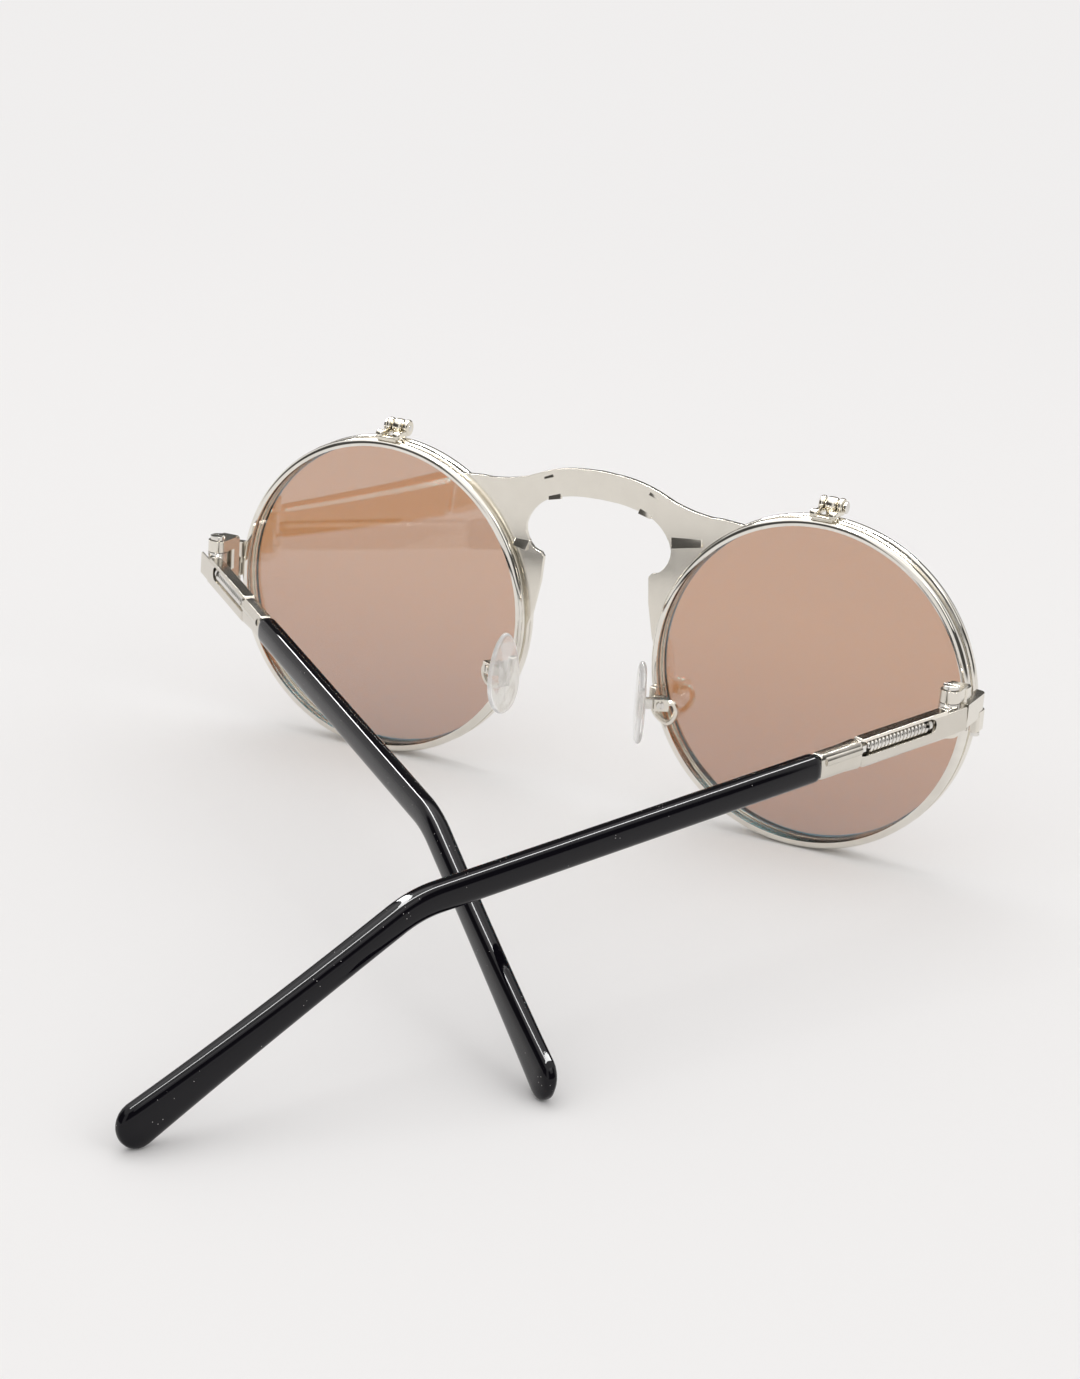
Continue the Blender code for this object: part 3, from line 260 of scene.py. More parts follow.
class MaterialDraft:
    """A material under construction: its Principled shader and short ways to add nodes."""

    def __init__(self, name: str) -> None:
        """Start a node material.

        Args:
            name: The material's name.
        """
        self.material = bpy.data.materials.new(name)
        self.material.use_nodes = True
        self.tree = self.material.node_tree
        self.shader = self.tree.nodes["Principled BSDF"]
        self.place = add_node(self.tree, "TexCoord").outputs["Object"]

    def effect(self, group: Tree, **values: float) -> Socket:
        """Place a shared effect on the object's coordinates.

        Args:
            group: The effect's node tree.
            **values: What its number inputs are set to.

        Returns:
            The effect's result.
        """
        node = add_node(self.tree, "Group", node_tree=group)
        self.tree.links.new(self.place, node.inputs["Vector"])
        for label, value in values.items():
            node.inputs[label].default_value = value
        return node.outputs[0]

    def set(self, **values: object) -> None:
        """Set plain numbers and colours on the shader; underscores stand for spaces."""
        for label, value in values.items():
            self.shader.inputs[label.replace("_", " ")].default_value = value

    def drive(self, label: str, source: Socket) -> None:
        """Link a socket to one of the shader's inputs."""
        self.tree.links.new(source, self.shader.inputs[label])

    def tint(self, mask: Socket, low: Triple, high: Triple) -> None:
        """Let the base colour run from low, where the mask is 0, to high, where it is 1."""
        ramp = add_node(self.tree, "ValToRGB")
        for element, colour in zip(ramp.color_ramp.elements, (low, high)):
            element.color = (*colour, 1.0)
        self.tree.links.new(mask, ramp.inputs["Fac"])
        self.drive("Base Color", ramp.outputs["Color"])

    def wear_roughness(self, effects: Effects, scale: float, low: float, high: float) -> None:
        """Let the roughness run from low to high with the handling marks."""
        self.drive("Roughness", self.effect(effects.wear, Scale=scale, Low=low, High=high))

    def bump(self, height: Socket, depth: float) -> None:
        """Raise the surface by a height pattern, depth metres deep."""
        bump = add_node(self.tree, "Bump", {"Strength": 1.0, "Distance": depth})
        self.tree.links.new(height, bump.inputs["Height"])
        self.drive("Normal", bump.outputs["Normal"])

    def cover(self, share: Socket, other: Socket) -> None:
        """Show another shader in place of the Principled one, by a share from 0 to 1."""
        mixed = add_node(self.tree, "MixShader")
        link = self.tree.links.new
        link(share, mixed.inputs["Fac"])
        link(self.shader.outputs["BSDF"], mixed.inputs[1])
        link(other, mixed.inputs[2])
        link(mixed.outputs["Shader"], self.tree.nodes["Material Output"].inputs["Surface"])

    def see_through_shadow(self, colour: Triple) -> None:
        """Let light through to the floor in the glass's own colour, as a thin tinted lens does.

        Args:
            colour: What share of red, green and blue the light keeps.
        """
        paths = add_node(self.tree, "LightPath").outputs
        either = math_node(self.tree, "MAXIMUM", paths["Is Shadow Ray"], paths["Is Diffuse Ray"])
        clear = add_node(self.tree, "BsdfTransparent", {"Color": (*colour, 1.0)})
        self.cover(either, clear.outputs["BSDF"])


@dataclass(frozen=True)
class MetalFinish:
    """A plated metal: its colour, how polished it is, and the grain and wear on it."""

    name: str
    colour: Triple
    dull_colour: Triple
    polish_roughness: float
    worn_roughness: float
    grain_scale: float
    grain_depth: float
    tone_scale: float = 170.0
    wear_scale: float = 320.0

    def build(self, effects: Effects) -> bpy.types.Material:
        """Make the material."""
        draft = MaterialDraft(self.name)
        draft.set(Metallic=1.0)
        draft.tint(draft.effect(effects.wear, Scale=self.tone_scale), self.colour, self.dull_colour)
        draft.wear_roughness(effects, self.wear_scale, self.polish_roughness, self.worn_roughness)
        draft.bump(draft.effect(effects.grain, Scale=self.grain_scale), self.grain_depth)
        return draft.material


@dataclass(frozen=True)
class LensFinish:
    """A transparent lens: its tint, a painted shade that darkens it towards the bottom, the strength and
    colour of its reflection, and faint wipe marks.
    """

    name: str
    tint: Triple
    # Painted shade: the darker tint that the lens takes near its bottom.
    painted_shade_tint: Triple
    ior: float
    mirror_tint: Triple
    shadow: Triple
    wipe_scale: float = 90.0
    wipe_roughness: float = 0.035
    # Painted shade: the heights over which the darker bottom tint gives way to the lens's own tint.
    painted_shade_heights: tuple[float, float] = (0.002, 0.036)

    def build(self, effects: Effects) -> bpy.types.Material:
        """Make the material."""
        draft = MaterialDraft(self.name)
        draft.set(Transmission_Weight=1.0, Metallic=0.0, IOR=self.ior)
        draft.set(Specular_Tint=(*self.mirror_tint, 1.0))
        split = add_node(draft.tree, "SeparateXYZ")
        draft.tree.links.new(draft.place, split.inputs["Vector"])
        # Painted shade: the tint darkens towards the bottom of the lens, standing in for the floor's shade
        # and dark things seen through it.
        height = soft_step(draft.tree, split.outputs["Z"], *self.painted_shade_heights)
        draft.tint(height, self.painted_shade_tint, self.tint)
        draft.wear_roughness(effects, self.wipe_scale, 0.0, self.wipe_roughness)
        draft.see_through_shadow(self.shadow)
        return draft.material


@dataclass(frozen=True)
class SiliconeFinish:
    """Clear soft silicone with a slight haze."""

    name: str
    colour: Triple = (1.0, 1.0, 1.0)
    hazy_colour: Triple = (0.95, 0.95, 0.945)
    roughness: float = 0.04
    worn_gain: float = 2.2
    transmission: float = 0.75
    ior: float = 1.43
    haze_scale: float = 420.0
    haze_depth: float = 0.00002
    wear_scale: float = 600.0
    shadow: Triple = (0.9, 0.9, 0.89)

    def build(self, effects: Effects) -> bpy.types.Material:
        """Make the material."""
        draft = MaterialDraft(self.name)
        draft.set(Transmission_Weight=self.transmission, Metallic=0.0, IOR=self.ior)
        haze = draft.effect(effects.wear, Scale=self.haze_scale)
        draft.tint(haze, self.colour, self.hazy_colour)
        draft.wear_roughness(effects, self.wear_scale, self.roughness, self.roughness * self.worn_gain)
        draft.bump(haze, self.haze_depth)
        draft.see_through_shadow(self.shadow)
        return draft.material


@dataclass(frozen=True)
class SleeveFinish:
    """Polished black plastic with a little dust, as the photograph shows on the temples."""

    name: str
    colour: Triple = (0.003, 0.0026, 0.0045)
    dust_colour: Triple = (0.35, 0.34, 0.33)
    roughness: float = 0.02
    worn_gain: float = 2.5
    ior: float = 1.33
    speck_scale: float = 1500.0
    speck_size: float = 0.10
    wear_scale: float = 200.0
    ripple_scale: float = 75.0
    ripple_depth: float = 0.000012

    def build(self, effects: Effects) -> bpy.types.Material:
        """Make the material."""
        draft = MaterialDraft(self.name)
        draft.set(Metallic=0.0, IOR=self.ior)
        specks = draft.effect(effects.specks, Scale=self.speck_scale, Size=self.speck_size)
        draft.tint(specks, self.colour, self.dust_colour)
        draft.wear_roughness(effects, self.wear_scale, self.roughness, self.roughness * self.worn_gain)
        draft.bump(draft.effect(effects.wear, Scale=self.ripple_scale), self.ripple_depth)
        return draft.material


METALS = (
    ("plate", "satin silver plate", (0.80, 0.765, 0.69), (0.785, 0.748, 0.672), 0.17, 0.21, 5200.0, 1.2e-6),
    ("temple", "satin silver temple", (0.70, 0.665, 0.60), (0.68, 0.645, 0.575), 0.14, 0.19, 5200.0, 1.2e-6),
    ("rim", "polished silver rim", (0.84, 0.815, 0.755), (0.77, 0.74, 0.68), 0.05, 0.12, 3000.0, 4.0e-7),
    ("steel", "bright spring steel", (0.82, 0.80, 0.76), (0.70, 0.68, 0.64), 0.12, 0.24, 8000.0, 1.0e-6),
    ("knuckle", "pale gold brazed knuckle", (0.84, 0.8, 0.71), (0.74, 0.69, 0.58), 0.1, 0.22, 5000.0, 1.0e-6),
)
# Each tint pair below holds a lens's own tint, then a darker tint painted towards its bottom as shade.
CLEAR_TINT_AND_PAINTED_SHADE = ((0.995, 0.995, 0.99), (0.985, 0.985, 0.98))
CLEAR_IOR = 1.5
CLEAR_SHADOW = (0.93, 0.93, 0.92)
BROWN_TINT_AND_PAINTED_SHADE = ((0.605, 0.29, 0.113), (0.50, 0.22, 0.088))
MIRROR_IOR = 2.9
MIRROR_SHADOW = (0.74, 0.68, 0.64)
REAR_TINT = (0.08, 0.72, 0.95)
FRONT_TINT = (0.70, 0.46, 0.40)
WHITE = (1.0, 1.0, 1.0)


class Finishes:
    """All materials of the glasses."""

    def __init__(self, effects: Effects) -> None:
        """Build every material once."""
        metals = {label: MetalFinish(*values).build(effects) for label, *values in METALS}
        self.plate, self.temple, self.rim = metals["plate"], metals["temple"], metals["rim"]
        self.steel, self.knuckle = metals["steel"], metals["knuckle"]
        clear = LensFinish("clear hard-coated lens", *CLEAR_TINT_AND_PAINTED_SHADE, CLEAR_IOR, WHITE, CLEAR_SHADOW)
        rear = LensFinish("brown tint, rear face", *BROWN_TINT_AND_PAINTED_SHADE, MIRROR_IOR, REAR_TINT, MIRROR_SHADOW)
        front = LensFinish("rose mirror, front face", *BROWN_TINT_AND_PAINTED_SHADE, MIRROR_IOR, FRONT_TINT, MIRROR_SHADOW)
        self.clear = clear.build(effects)
        self.mirror = rear.build(effects)
        self.mirror_front = front.build(effects)
        self.pad = SiliconeFinish("clear silicone").build(effects)
        self.sleeve = SleeveFinish("polished black sleeve").build(effects)


# Modelling in edit mode


def start_piece(name: str) -> None:
    """Deselect everything, so that the next operator works on the new piece alone."""
    bpy.ops.object.select_all(action="DESELECT")
    log.debug("starting %s", name)


def choose(piece: Piece) -> None:
    """Select one piece alone and make it active."""
    bpy.ops.object.select_all(action="DESELECT")
    piece.select_set(True)
    bpy.context.view_layer.objects.active = piece


def name_active(name: str) -> Piece:
    """Name the object that the last operator made, with its place in its mesh.

    Args:
        name: Its name.

    Returns:
        The object.
    """
    made = bpy.context.object
    made.name = name
    made.data.name = name
    return made


def place_in_mesh(piece: Piece) -> None:
    """Move a piece's place, turn and size into its mesh."""
    choose(piece)
    bpy.ops.object.transform_apply(location=True, rotation=True, scale=True)


@contextmanager
def editing(kind: str = "FACE") -> Iterator[None]:
    """Edit the active piece for a while, with all its points, edges or faces selected."""
    bpy.ops.object.mode_set(mode="EDIT")
    bpy.ops.mesh.select_mode(type=kind)
    bpy.ops.mesh.select_all(action="SELECT")
    yield
    bpy.ops.object.mode_set(mode="OBJECT")


@contextmanager
def editing_where(piece: Piece, kind: str, test: Callable[[Vector], bool]) -> Iterator[None]:
    """Edit a piece for a while, with what passes a test selected.

    Args:
        piece: The piece.
        kind: VERT, EDGE or FACE.
        test: Takes a point's place, the place of each end of an edge, or a face's outward direction.
    """
    bpy.ops.object.mode_set(mode="EDIT")
    bpy.ops.mesh.select_mode(type=kind)
    bpy.ops.mesh.select_all(action="DESELECT")
    bpy.ops.object.mode_set(mode="OBJECT")
    mesh = piece.data
    if kind == "VERT":
        for vert in mesh.vertices:
            vert.select = test(vert.co)
    elif kind == "EDGE":
        for edge in mesh.edges:
            edge.select = all(test(mesh.vertices[i].co) for i in edge.vertices)
    else:
        for face in mesh.polygons:
            face.select = test(face.normal)
    bpy.ops.object.mode_set(mode="EDIT")
    yield
    bpy.ops.object.mode_set(mode="OBJECT")


def extrude(x: float, y: float, z: float) -> None:
    """Extrude what is selected by an offset."""
    bpy.ops.mesh.extrude_region_move(TRANSFORM_OT_translate={"value": (x, y, z)})


def outward(piece: Piece) -> None:
    """Merge doubled points and turn every face outwards."""
    choose(piece)
    with editing("VERT"):
        bpy.ops.mesh.remove_doubles(threshold=SAME_PLACE)
        bpy.ops.mesh.normals_make_consistent(inside=False)


def apply_all(piece: Piece) -> None:
    """Apply a piece's modifiers in their order."""
    choose(piece)
    for modifier in list(piece.modifiers):
        bpy.ops.object.modifier_apply(modifier=modifier.name)


def smooth(piece: Piece, angle_deg: float = CRISP_DEG) -> None:
    """Shade a piece smooth, with edges sharper than the angle kept."""
    choose(piece)
    bpy.ops.object.shade_smooth_by_angle(angle=math.radians(angle_deg))


def closed(piece: Piece, angle_deg: float = CRISP_DEG) -> Piece:
    """Turn a piece's faces outwards, shade it smooth and give it back."""
    outward(piece)
    smooth(piece, angle_deg)
    return piece


def bevel_edges(piece: Piece, width: float, segments: int, from_deg: float = BEVEL_FROM_DEG) -> None:
    """Round a piece's edges where its faces meet at more than an angle."""
    bevel = piece.modifiers.new("edge", "BEVEL")
    bevel.width = width
    bevel.segments = segments
    bevel.limit_method = "ANGLE"
    bevel.angle_limit = math.radians(from_deg)
    apply_all(piece)


def finished(piece: Piece, body: str, slot: Slot, material: bpy.types.Material, *nodes: str) -> None:
    """Dress a piece, put it on its body and hide the CAD nodes it stands for.

    Args:
        piece: The piece, with its place in its mesh.
        body: The CAD body that it moves with.
        slot: The record's material slot; not used.
        material: Its finish.
        *nodes: The CAD nodes that it replaces.
    """
    piece.data.materials.clear()
    piece.data.materials.append(material)
    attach(piece, body)
    if nodes:
        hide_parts(*nodes)
    log.info("%s rides %s, %d faces", piece.name, body, len(piece.data.polygons))


def copied(piece: Piece, name: str, matrix: Matrix, angle_deg: float) -> Piece:
    """Copy a piece with its own mesh, moved by a matrix.

    Args:
        piece: The piece, with its place in its mesh.
        name: The copy's name.
        matrix: Where its mesh goes.
        angle_deg: The angle above which its edges stay sharp.

    Returns:
        The copy, turned outwards again.
    """
    made = piece.copy()
    made.data = piece.data.copy()
    made.name = name
    made.data.name = name
    bpy.context.scene.collection.objects.link(made)
    made.data.transform(matrix)
    return closed(made, angle_deg)


def mirrored_copy(piece: Piece, name: str) -> Piece:
    """Copy a left piece to the right side with its own mesh."""
    flip = FACE.beside(Side.RIGHT) @ FACE.beside(Side.LEFT).inverted()
    return copied(piece, name, flip, CRISP_DEG)


def with_mirror(left: Piece) -> Iterator[tuple[Side, Piece]]:
    """Give a left piece, then its copy on the right side.

    The copy is made once the caller is done with the left piece, so it starts out with the left
    piece's finish and body.

    Args:
        left: The piece; its name starts with left.

    Yields:
        Each side with its piece.
    """
    yield Side.LEFT, left
    yield Side.RIGHT, mirrored_copy(left, left.name.replace("left", "right", 1))


def on_both_sides(
    draft: Piece, label: str, place: Callable[[Side], Matrix], angle_deg: float
) -> list[tuple[Side, Piece]]:
    """Copy a draft in its own axes to each side, and remove it.

    Args:
        draft: The draft.
        label: The copies' name without the side.
        place: Gives each side's matrix.
        angle_deg: The angle above which edges stay sharp.

    Returns:
        Each side with its piece.
    """
    made = [(side, copied(draft, side.node(label), place(side), angle_deg)) for side in Side]
    bpy.data.objects.remove(draft)
    return made


def new_disc(
    name: str, steps: int, radius: float, centre: Vector | Triple, turn: Triple = FACING_Y
) -> Piece:
    """A flat round face, ready to be extruded.

    Args:
        name: The piece's name.
        steps: How many points go round it.
        radius: Its radius.
        centre: Its middle.
        turn: Its turn from facing up.

    Returns:
        The disc, with its place in its mesh.
    """
    start_piece(name)
    bpy.ops.mesh.primitive_circle_add(
        vertices=steps, radius=radius, fill_type="NGON", location=centre, rotation=turn
    )
    piece = name_active(name)
    place_in_mesh(piece)
    return piece


def new_block(name: str, centre: Vector | Triple, size: Vector | Triple) -> Piece:
    """A plain block.

    Args:
        name: The piece's name.
        centre: Its middle.
        size: Its size along X, Y and Z.

    Returns:
        The block, with its place in its mesh.
    """
    start_piece(name)
    bpy.ops.mesh.primitive_cube_add(size=1.0, location=centre)
    piece = name_active(name)
    piece.scale = size
    place_in_mesh(piece)
    return piece


BARREL_PROFILE = ((-1.0, 0.50), (-0.95, 0.70), (-0.84, 0.85), (-0.66, 0.945), (-0.35, 0.99), (0.0, 1.0))
BARREL_STEPS = 36
BLOCK_EDGE_SEGMENTS = 5


def turned_barrel(name: str, centre: Vector, half_width: float, radius: float) -> Piece:
    """A short barrel along X with well rounded ends, extruded from end to end.

    Args:
        name: The piece's name.
        centre: Its middle.
        half_width: Half its length along X.
        radius: Its largest radius.

    Returns:
        The barrel, closed and shaded.
    """
    shares = [*BARREL_PROFILE, *((-x, share) for x, share in BARREL_PROFILE[-2::-1])]
    end = centre + Vector((shares[0][0] * half_width, 0.0, 0.0))
    piece = new_disc(name, BARREL_STEPS, radius * shares[0][1], end, FACING_X)
    with editing("FACE"):
        for (old_x, old_share), (new_x, new_share) in zip(shares, shares[1:]):
            extrude((new_x - old_x) * half_width, 0.0, 0.0)
            middle = centre + Vector((new_x * half_width, 0.0, 0.0))
            size = new_share / old_share
            bpy.ops.transform.resize(value=(1.0, size, size), center_override=tuple(middle))
    return closed(piece, ROUND_DEG)


def rounded_block(name: str, low: Vector, high: Vector, edge: float) -> Piece:
    """A block between two corners with rounded edges.

    Args:
        name: The piece's name.
        low: The corner with the smallest coordinates.
        high: The opposite corner.
        edge: The radius of its edges.

    Returns:
        The block, closed and shaded.
    """
    piece = new_block(name, (low + high) / 2, high - low)
    with editing("EDGE"):
        bpy.ops.mesh.bevel(offset=edge, segments=BLOCK_EDGE_SEGMENTS, affect="EDGES")
    return closed(piece, SOFT_DEG)


def joined(name: str, pieces: list[Piece]) -> Piece:
    """Join closed solids that are brazed together into one piece.

    Args:
        name: The joined piece's name.
        pieces: The solids; the first one keeps its place.

    Returns:
        The joined piece.
    """
    start_piece(name)
    for piece in pieces:
        piece.select_set(True)
    bpy.context.view_layer.objects.active = pieces[0]
    bpy.ops.object.join()
    return name_active(name)


@dataclass
class LensRims:
    """The two wires round each lens: the fixed one behind the plate and the one that flips."""

    sight_radius: float = 0.0240
    eyewire: Triple = (0.00095, 0.0011, 0.0017)
    flip_ring: Triple = (-0.00185, 0.0012, 0.0017)
    groove: float = 0.0005
    groove_width: float = 0.0010
    mouth_share: float = 0.6
    spin_steps: int = 160
    crown_segments: int = 8
    crown_share: float = 0.46
    barrel_radius: float = 0.0013
    barrel_width: float = 0.0018
    foot_half: float = 0.0006
    foot_sink: float = 0.0002
    foot_gap: float = 0.0003
    foot_edge: float = 0.00025

    def ring(self, name: str, middle: float, width: float, depth: float) -> Piece:
        """Spin a grooved wire round the left lens.

        Args:
            name: The piece's name.
            middle: How far the wire's middle is behind the plate's rear face.
            width: The wire's size across the ring.
            depth: Its size from front to back.

        Returns:
            The ring, closed and shaded.
        """
        centre = FACE.lens_centre(Side.LEFT, middle)
        inner, outer, half = self.sight_radius, self.sight_radius + width, depth / 2

        def at_sight(v: Vector) -> bool:
            return abs((v - centre).z - inner) < SAME_PLACE

        def at_mouth(v: Vector) -> bool:
            return at_sight(v) and abs(v.y - centre.y) < self.groove_width * self.mouth_share

        start_piece(name)
        bpy.ops.mesh.primitive_plane_add(size=1.0)
        piece = name_active(name)
        mesh = piece.data
        order = sorted(mesh.vertices, key=lambda v: math.atan2(v.co.y, v.co.x))
        corners = [(inner, -half), (outer, -half), (outer, half), (inner, half)]
        places = [centre + Vector((0.0, back, radius)) for radius, back in corners]
        for index, place in zip([v.index for v in order], places):
            mesh.vertices[index].co = place
        with editing_where(piece, "EDGE", at_sight):
            bpy.ops.mesh.subdivide(number_cuts=2)
        inner_points = sorted((v for v in mesh.vertices if at_sight(v.co)), key=lambda v: v.co.y)
        for vert, sign in zip(inner_points[1:3], (-1, 1)):
            vert.co.y = centre.y + sign * self.groove_width / 2
        with editing_where(piece, "EDGE", at_mouth):
            extrude(0.0, 0.0, self.groove)
        crown = depth * self.crown_share
        with editing_where(piece, "VERT", lambda v: abs(v.z - centre.z - outer) < SAME_PLACE):
            bpy.ops.mesh.bevel(offset=crown, segments=self.crown_segments, affect="VERTICES")
        with editing("VERT"):
            bpy.ops.mesh.delete(type="ONLY_FACE")
        with editing_where(piece, "EDGE", at_mouth):
            bpy.ops.mesh.delete(type="EDGE")
        with editing("EDGE"):
            bpy.ops.mesh.spin(steps=self.spin_steps, angle=math.tau, center=centre, axis=(0.0, 1.0, 0.0))
        return closed(piece)

    def knuckle(self, name: str) -> Piece:
        """The flip rim's centre knuckle: a turned barrel on a rounded foot.

        Args:
            name: The piece's name.

        Returns:
            The knuckle on the left flip rim.
        """
        side, lens_side, up = Side.LEFT, FACE.lens_side, FACE.flip_axis_up
        barrel_place = FACE.world(side, lens_side, FACE.flip_axis_back, up)
        barrel = turned_barrel(name, barrel_place, self.barrel_width / 2, self.barrel_radius)
        middle, width, _ = self.flip_ring
        rim_top = self.sight_radius + width - self.foot_sink
        low = FACE.world(side, lens_side - self.foot_half, middle - self.foot_half, rim_top)
        high = FACE.world(side, lens_side + self.foot_half, middle + self.foot_half, up - self.foot_gap)
        return joined(name, [barrel, rounded_block(f"{name}_foot", low, high, self.foot_edge)])

    def build(self, finishes: Finishes) -> None:
        """Make both rims and knuckles on both sides."""
        for side, piece in with_mirror(self.ring("left_eyewire_ring", *self.eyewire)):
            finished(piece, "front", Slot.RIM, finishes.rim, side.node("eyewire"))
        for side, piece in with_mirror(self.ring("left_flip_ring", *self.flip_ring)):
            finished(piece, side.node("flip"), Slot.RIM, finishes.rim, side.node("flip_rim"))
        for side, piece in with_mirror(self.knuckle("left_flip_knuckle")):
            finished(piece, side.node("flip"), Slot.RIM, finishes.knuckle)


@dataclass
class DomedLenses:
    """The clear lenses and the mirrored flip lenses, domed forwards at the middle."""

    edge_radius: float = 0.0244
    thickness: float = 0.0008
    clear_middle: float = 0.00095
    clear_dome: float = 0.0010
    flip_middle: float = -0.00185
    mirror_dome: float = 0.0022
    rings: int = 10
    steps: int = 128
    front_normal: float = -0.5

    def lens(self, name: str, middle: float, dome: float) -> Piece:
        """A thin dome with an even wall.

        Args:
            name: The piece's name.
            middle: How far the lens edge is behind the plate's rear face.
            dome: How far the middle stands before the edge.

        Returns:
            The left lens, closed.
        """
        centre = FACE.lens_centre(Side.LEFT, middle)
        piece = new_disc(name, self.steps, self.edge_radius, centre)
        with editing("FACE"):
            for _ in range(self.rings):
                bpy.ops.mesh.inset(thickness=self.edge_radius / (self.rings + 1), depth=0.0)
            bpy.ops.mesh.poke()
        for vert in piece.data.vertices:
            out = math.hypot(vert.co.x - centre.x, vert.co.z - centre.z) / self.edge_radius
            vert.co.y = centre.y + dome * (out * out - 1.0) + self.thickness / 2
        wall = piece.modifiers.new("wall", "SOLIDIFY")
        wall.thickness = self.thickness
        wall.offset = 0.0
        apply_all(piece)
        for vert in piece.data.vertices:
            vert.co.y -= self.thickness / 2
        return closed(piece, ROUND_DEG)

    def build(self, finishes: Finishes) -> None:
        """Make the four lenses."""
        clear = self.lens("left_clear_dome", self.clear_middle, self.clear_dome)
        mirror = self.lens("left_mirror_dome", self.flip_middle, self.mirror_dome)
        for side, piece in with_mirror(clear):
            finished(piece, "front", Slot.CLEAR, finishes.clear, side.node("clear_lens"))
        for side, piece in with_mirror(mirror):
            finished(piece, side.node("flip"), Slot.MIRROR, finishes.mirror, side.node("flip_lens"))
            piece.data.materials.append(finishes.mirror_front)
            for face in piece.data.polygons:
                face.material_index = int(face.normal.y < self.front_normal)


@dataclass
class TempleSleeves:
    """The black sleeves: straight, bent down, then spread into a flat round-ended tip."""

    pitch_deg: float = -3.81
    left_fold_deg: float = 40.4
    right_fold_deg: float = 68.0
    offset: float = 0.0011
    drop: float = 0.0007
    start: float = 0.0280
    mouth: tuple = ((0.0, 0.774), (0.00025, 0.864), (0.0007, 0.975), (0.0012, 1.0))
    straight: float = 0.0975
    straight_steps: int = 7
    tip: float = 0.0468
    tip_steps: int = 12
    bend_deg: float = 21.2
    bend_radius: float = 0.0180
    bend_steps: int = 12
    height: float = 0.0040
    thickness: float = 0.0030
    tip_height: float = 0.0060
    tip_lift: float = 0.0003
    tip_thickness: float = 0.0025
    tip_end: float = 0.0028
    end_turns_deg: tuple[float, ...] = (14, 28, 42, 54, 65, 74, 81, 86, 89)
    end_flat_power: float = 0.8
    spread_power: float = 2.2
    squareness: float = 0.72
    section_steps: int = 40

    def route(self) -> list[tuple[Vector, float, float, float]]:
        """The sleeve's stations from the ferrule to the tip.

        Returns:
            Each station's place, its lean down in radians, its half height and its half thickness.
        """
        bend = math.radians(self.bend_deg)
        setback = self.bend_radius * math.tan(bend / 2)
        bend_start = self.straight - setback
        half, thin = self.height / 2, self.thickness / 2
        tip_half, tip_thin = self.tip_height / 2, self.tip_thickness / 2
        steps = [(self.start + y, share) for y, share in self.mouth]
        last = steps[-1][0]
        for k in range(1, self.straight_steps):
            steps.append((last + (bend_start - last) * k / self.straight_steps, 1.0))
        out = []
        for y, share in steps:
            out.append((Vector((self.offset, y, -self.drop)), 0.0, half * share, thin * share))
        centre = Vector((self.offset, bend_start, -self.drop - self.bend_radius))
        for k in range(self.bend_steps + 1):
            lean = bend * k / self.bend_steps
            place = centre + self.bend_radius * Vector((0, math.sin(lean), math.cos(lean)))
            out.append((place, lean, half, thin))
        corner = out[-1][0]
        along = Vector((0, math.cos(bend), -math.sin(bend)))
        above = Vector((0, math.sin(bend), math.cos(bend)))
        run = self.tip - setback - self.tip_end
        for k in range(1, self.tip_steps + 1):
            share = k / self.tip_steps
            spread = share**self.spread_power
            place = corner + along * run * share + above * self.tip_lift * spread
            tall = half + (tip_half - half) * spread
            out.append((place, bend, tall, thin + (tip_thin - thin) * share))
        end = out[-1][0]
        for turn_deg in self.end_turns_deg:
            turn = math.radians(turn_deg)
            shrink = math.cos(turn)
            place = end + along * self.tip_end * math.sin(turn)
            out.append((place, bend, tip_half * shrink, tip_thin * shrink**self.end_flat_power))
        return out

    def sleeve(self, name: str) -> Piece:
        """Extrude the sleeve's section from station to station.

        Args:
            name: The piece's name.

        Returns:
            The sleeve along Y, about the hinge axis.
        """
        stations = self.route()
        place, _, tall, flat = stations[0]
        piece = new_disc(name, self.section_steps, 1.0, place)
        for vert in piece.data.vertices:
            wide, high = vert.co.x - place.x, vert.co.z - place.z
            vert.co.x = place.x + flat * math.copysign(abs(wide) ** self.squareness, wide)
            vert.co.z = place.z + tall * math.copysign(abs(high) ** self.squareness, high)
        with editing("FACE"):
            for old, (new, lean, tall, flat) in zip(stations, stations[1:]):
                extrude(*(new - old[0]))
                self.turn_end(new, -old[1])
                size = (flat / old[3], 1.0, tall / old[2])
                bpy.ops.transform.resize(value=size, center_override=tuple(new))
                self.turn_end(new, lean)
        outward(piece)
        return piece

    def turn_end(self, centre: Vector, lean: float) -> None:
        """Turn the selected end downwards about its middle by an angle."""
        if abs(lean) > SAME_PLACE:
            bpy.ops.transform.rotate(
                value=lean, orient_axis="X", orient_type="GLOBAL", center_override=tuple(centre)
            )

    def folded(self, side: Side) -> Matrix:
        """From a temple's own axes to its place as the glasses stand.

        Args:
            side: Which temple.

        Returns:
            The matrix in the CAD model's frame; it mirrors the right side.
        """
        fold_deg = self.left_fold_deg if side is Side.LEFT else self.right_fold_deg
        turn = Matrix.Translation(FACE.hinge) @ Matrix.Rotation(math.radians(90.0 - fold_deg), 4, "Z")
        return FACE.beside(side) @ turn @ Matrix.Rotation(math.radians(self.pitch_deg), 4, "X")

    def build(self, finishes: Finishes) -> None:
        """Make both sleeves and fold them."""
        draft = self.sleeve("sleeve_draft")
        for side, piece in on_both_sides(draft, "sleeve_moulding", self.folded, SOFT_DEG):
            node = side.node("temple_sleeve")
            finished(piece, side.node("temple"), Slot.SLEEVE, finishes.sleeve, node)


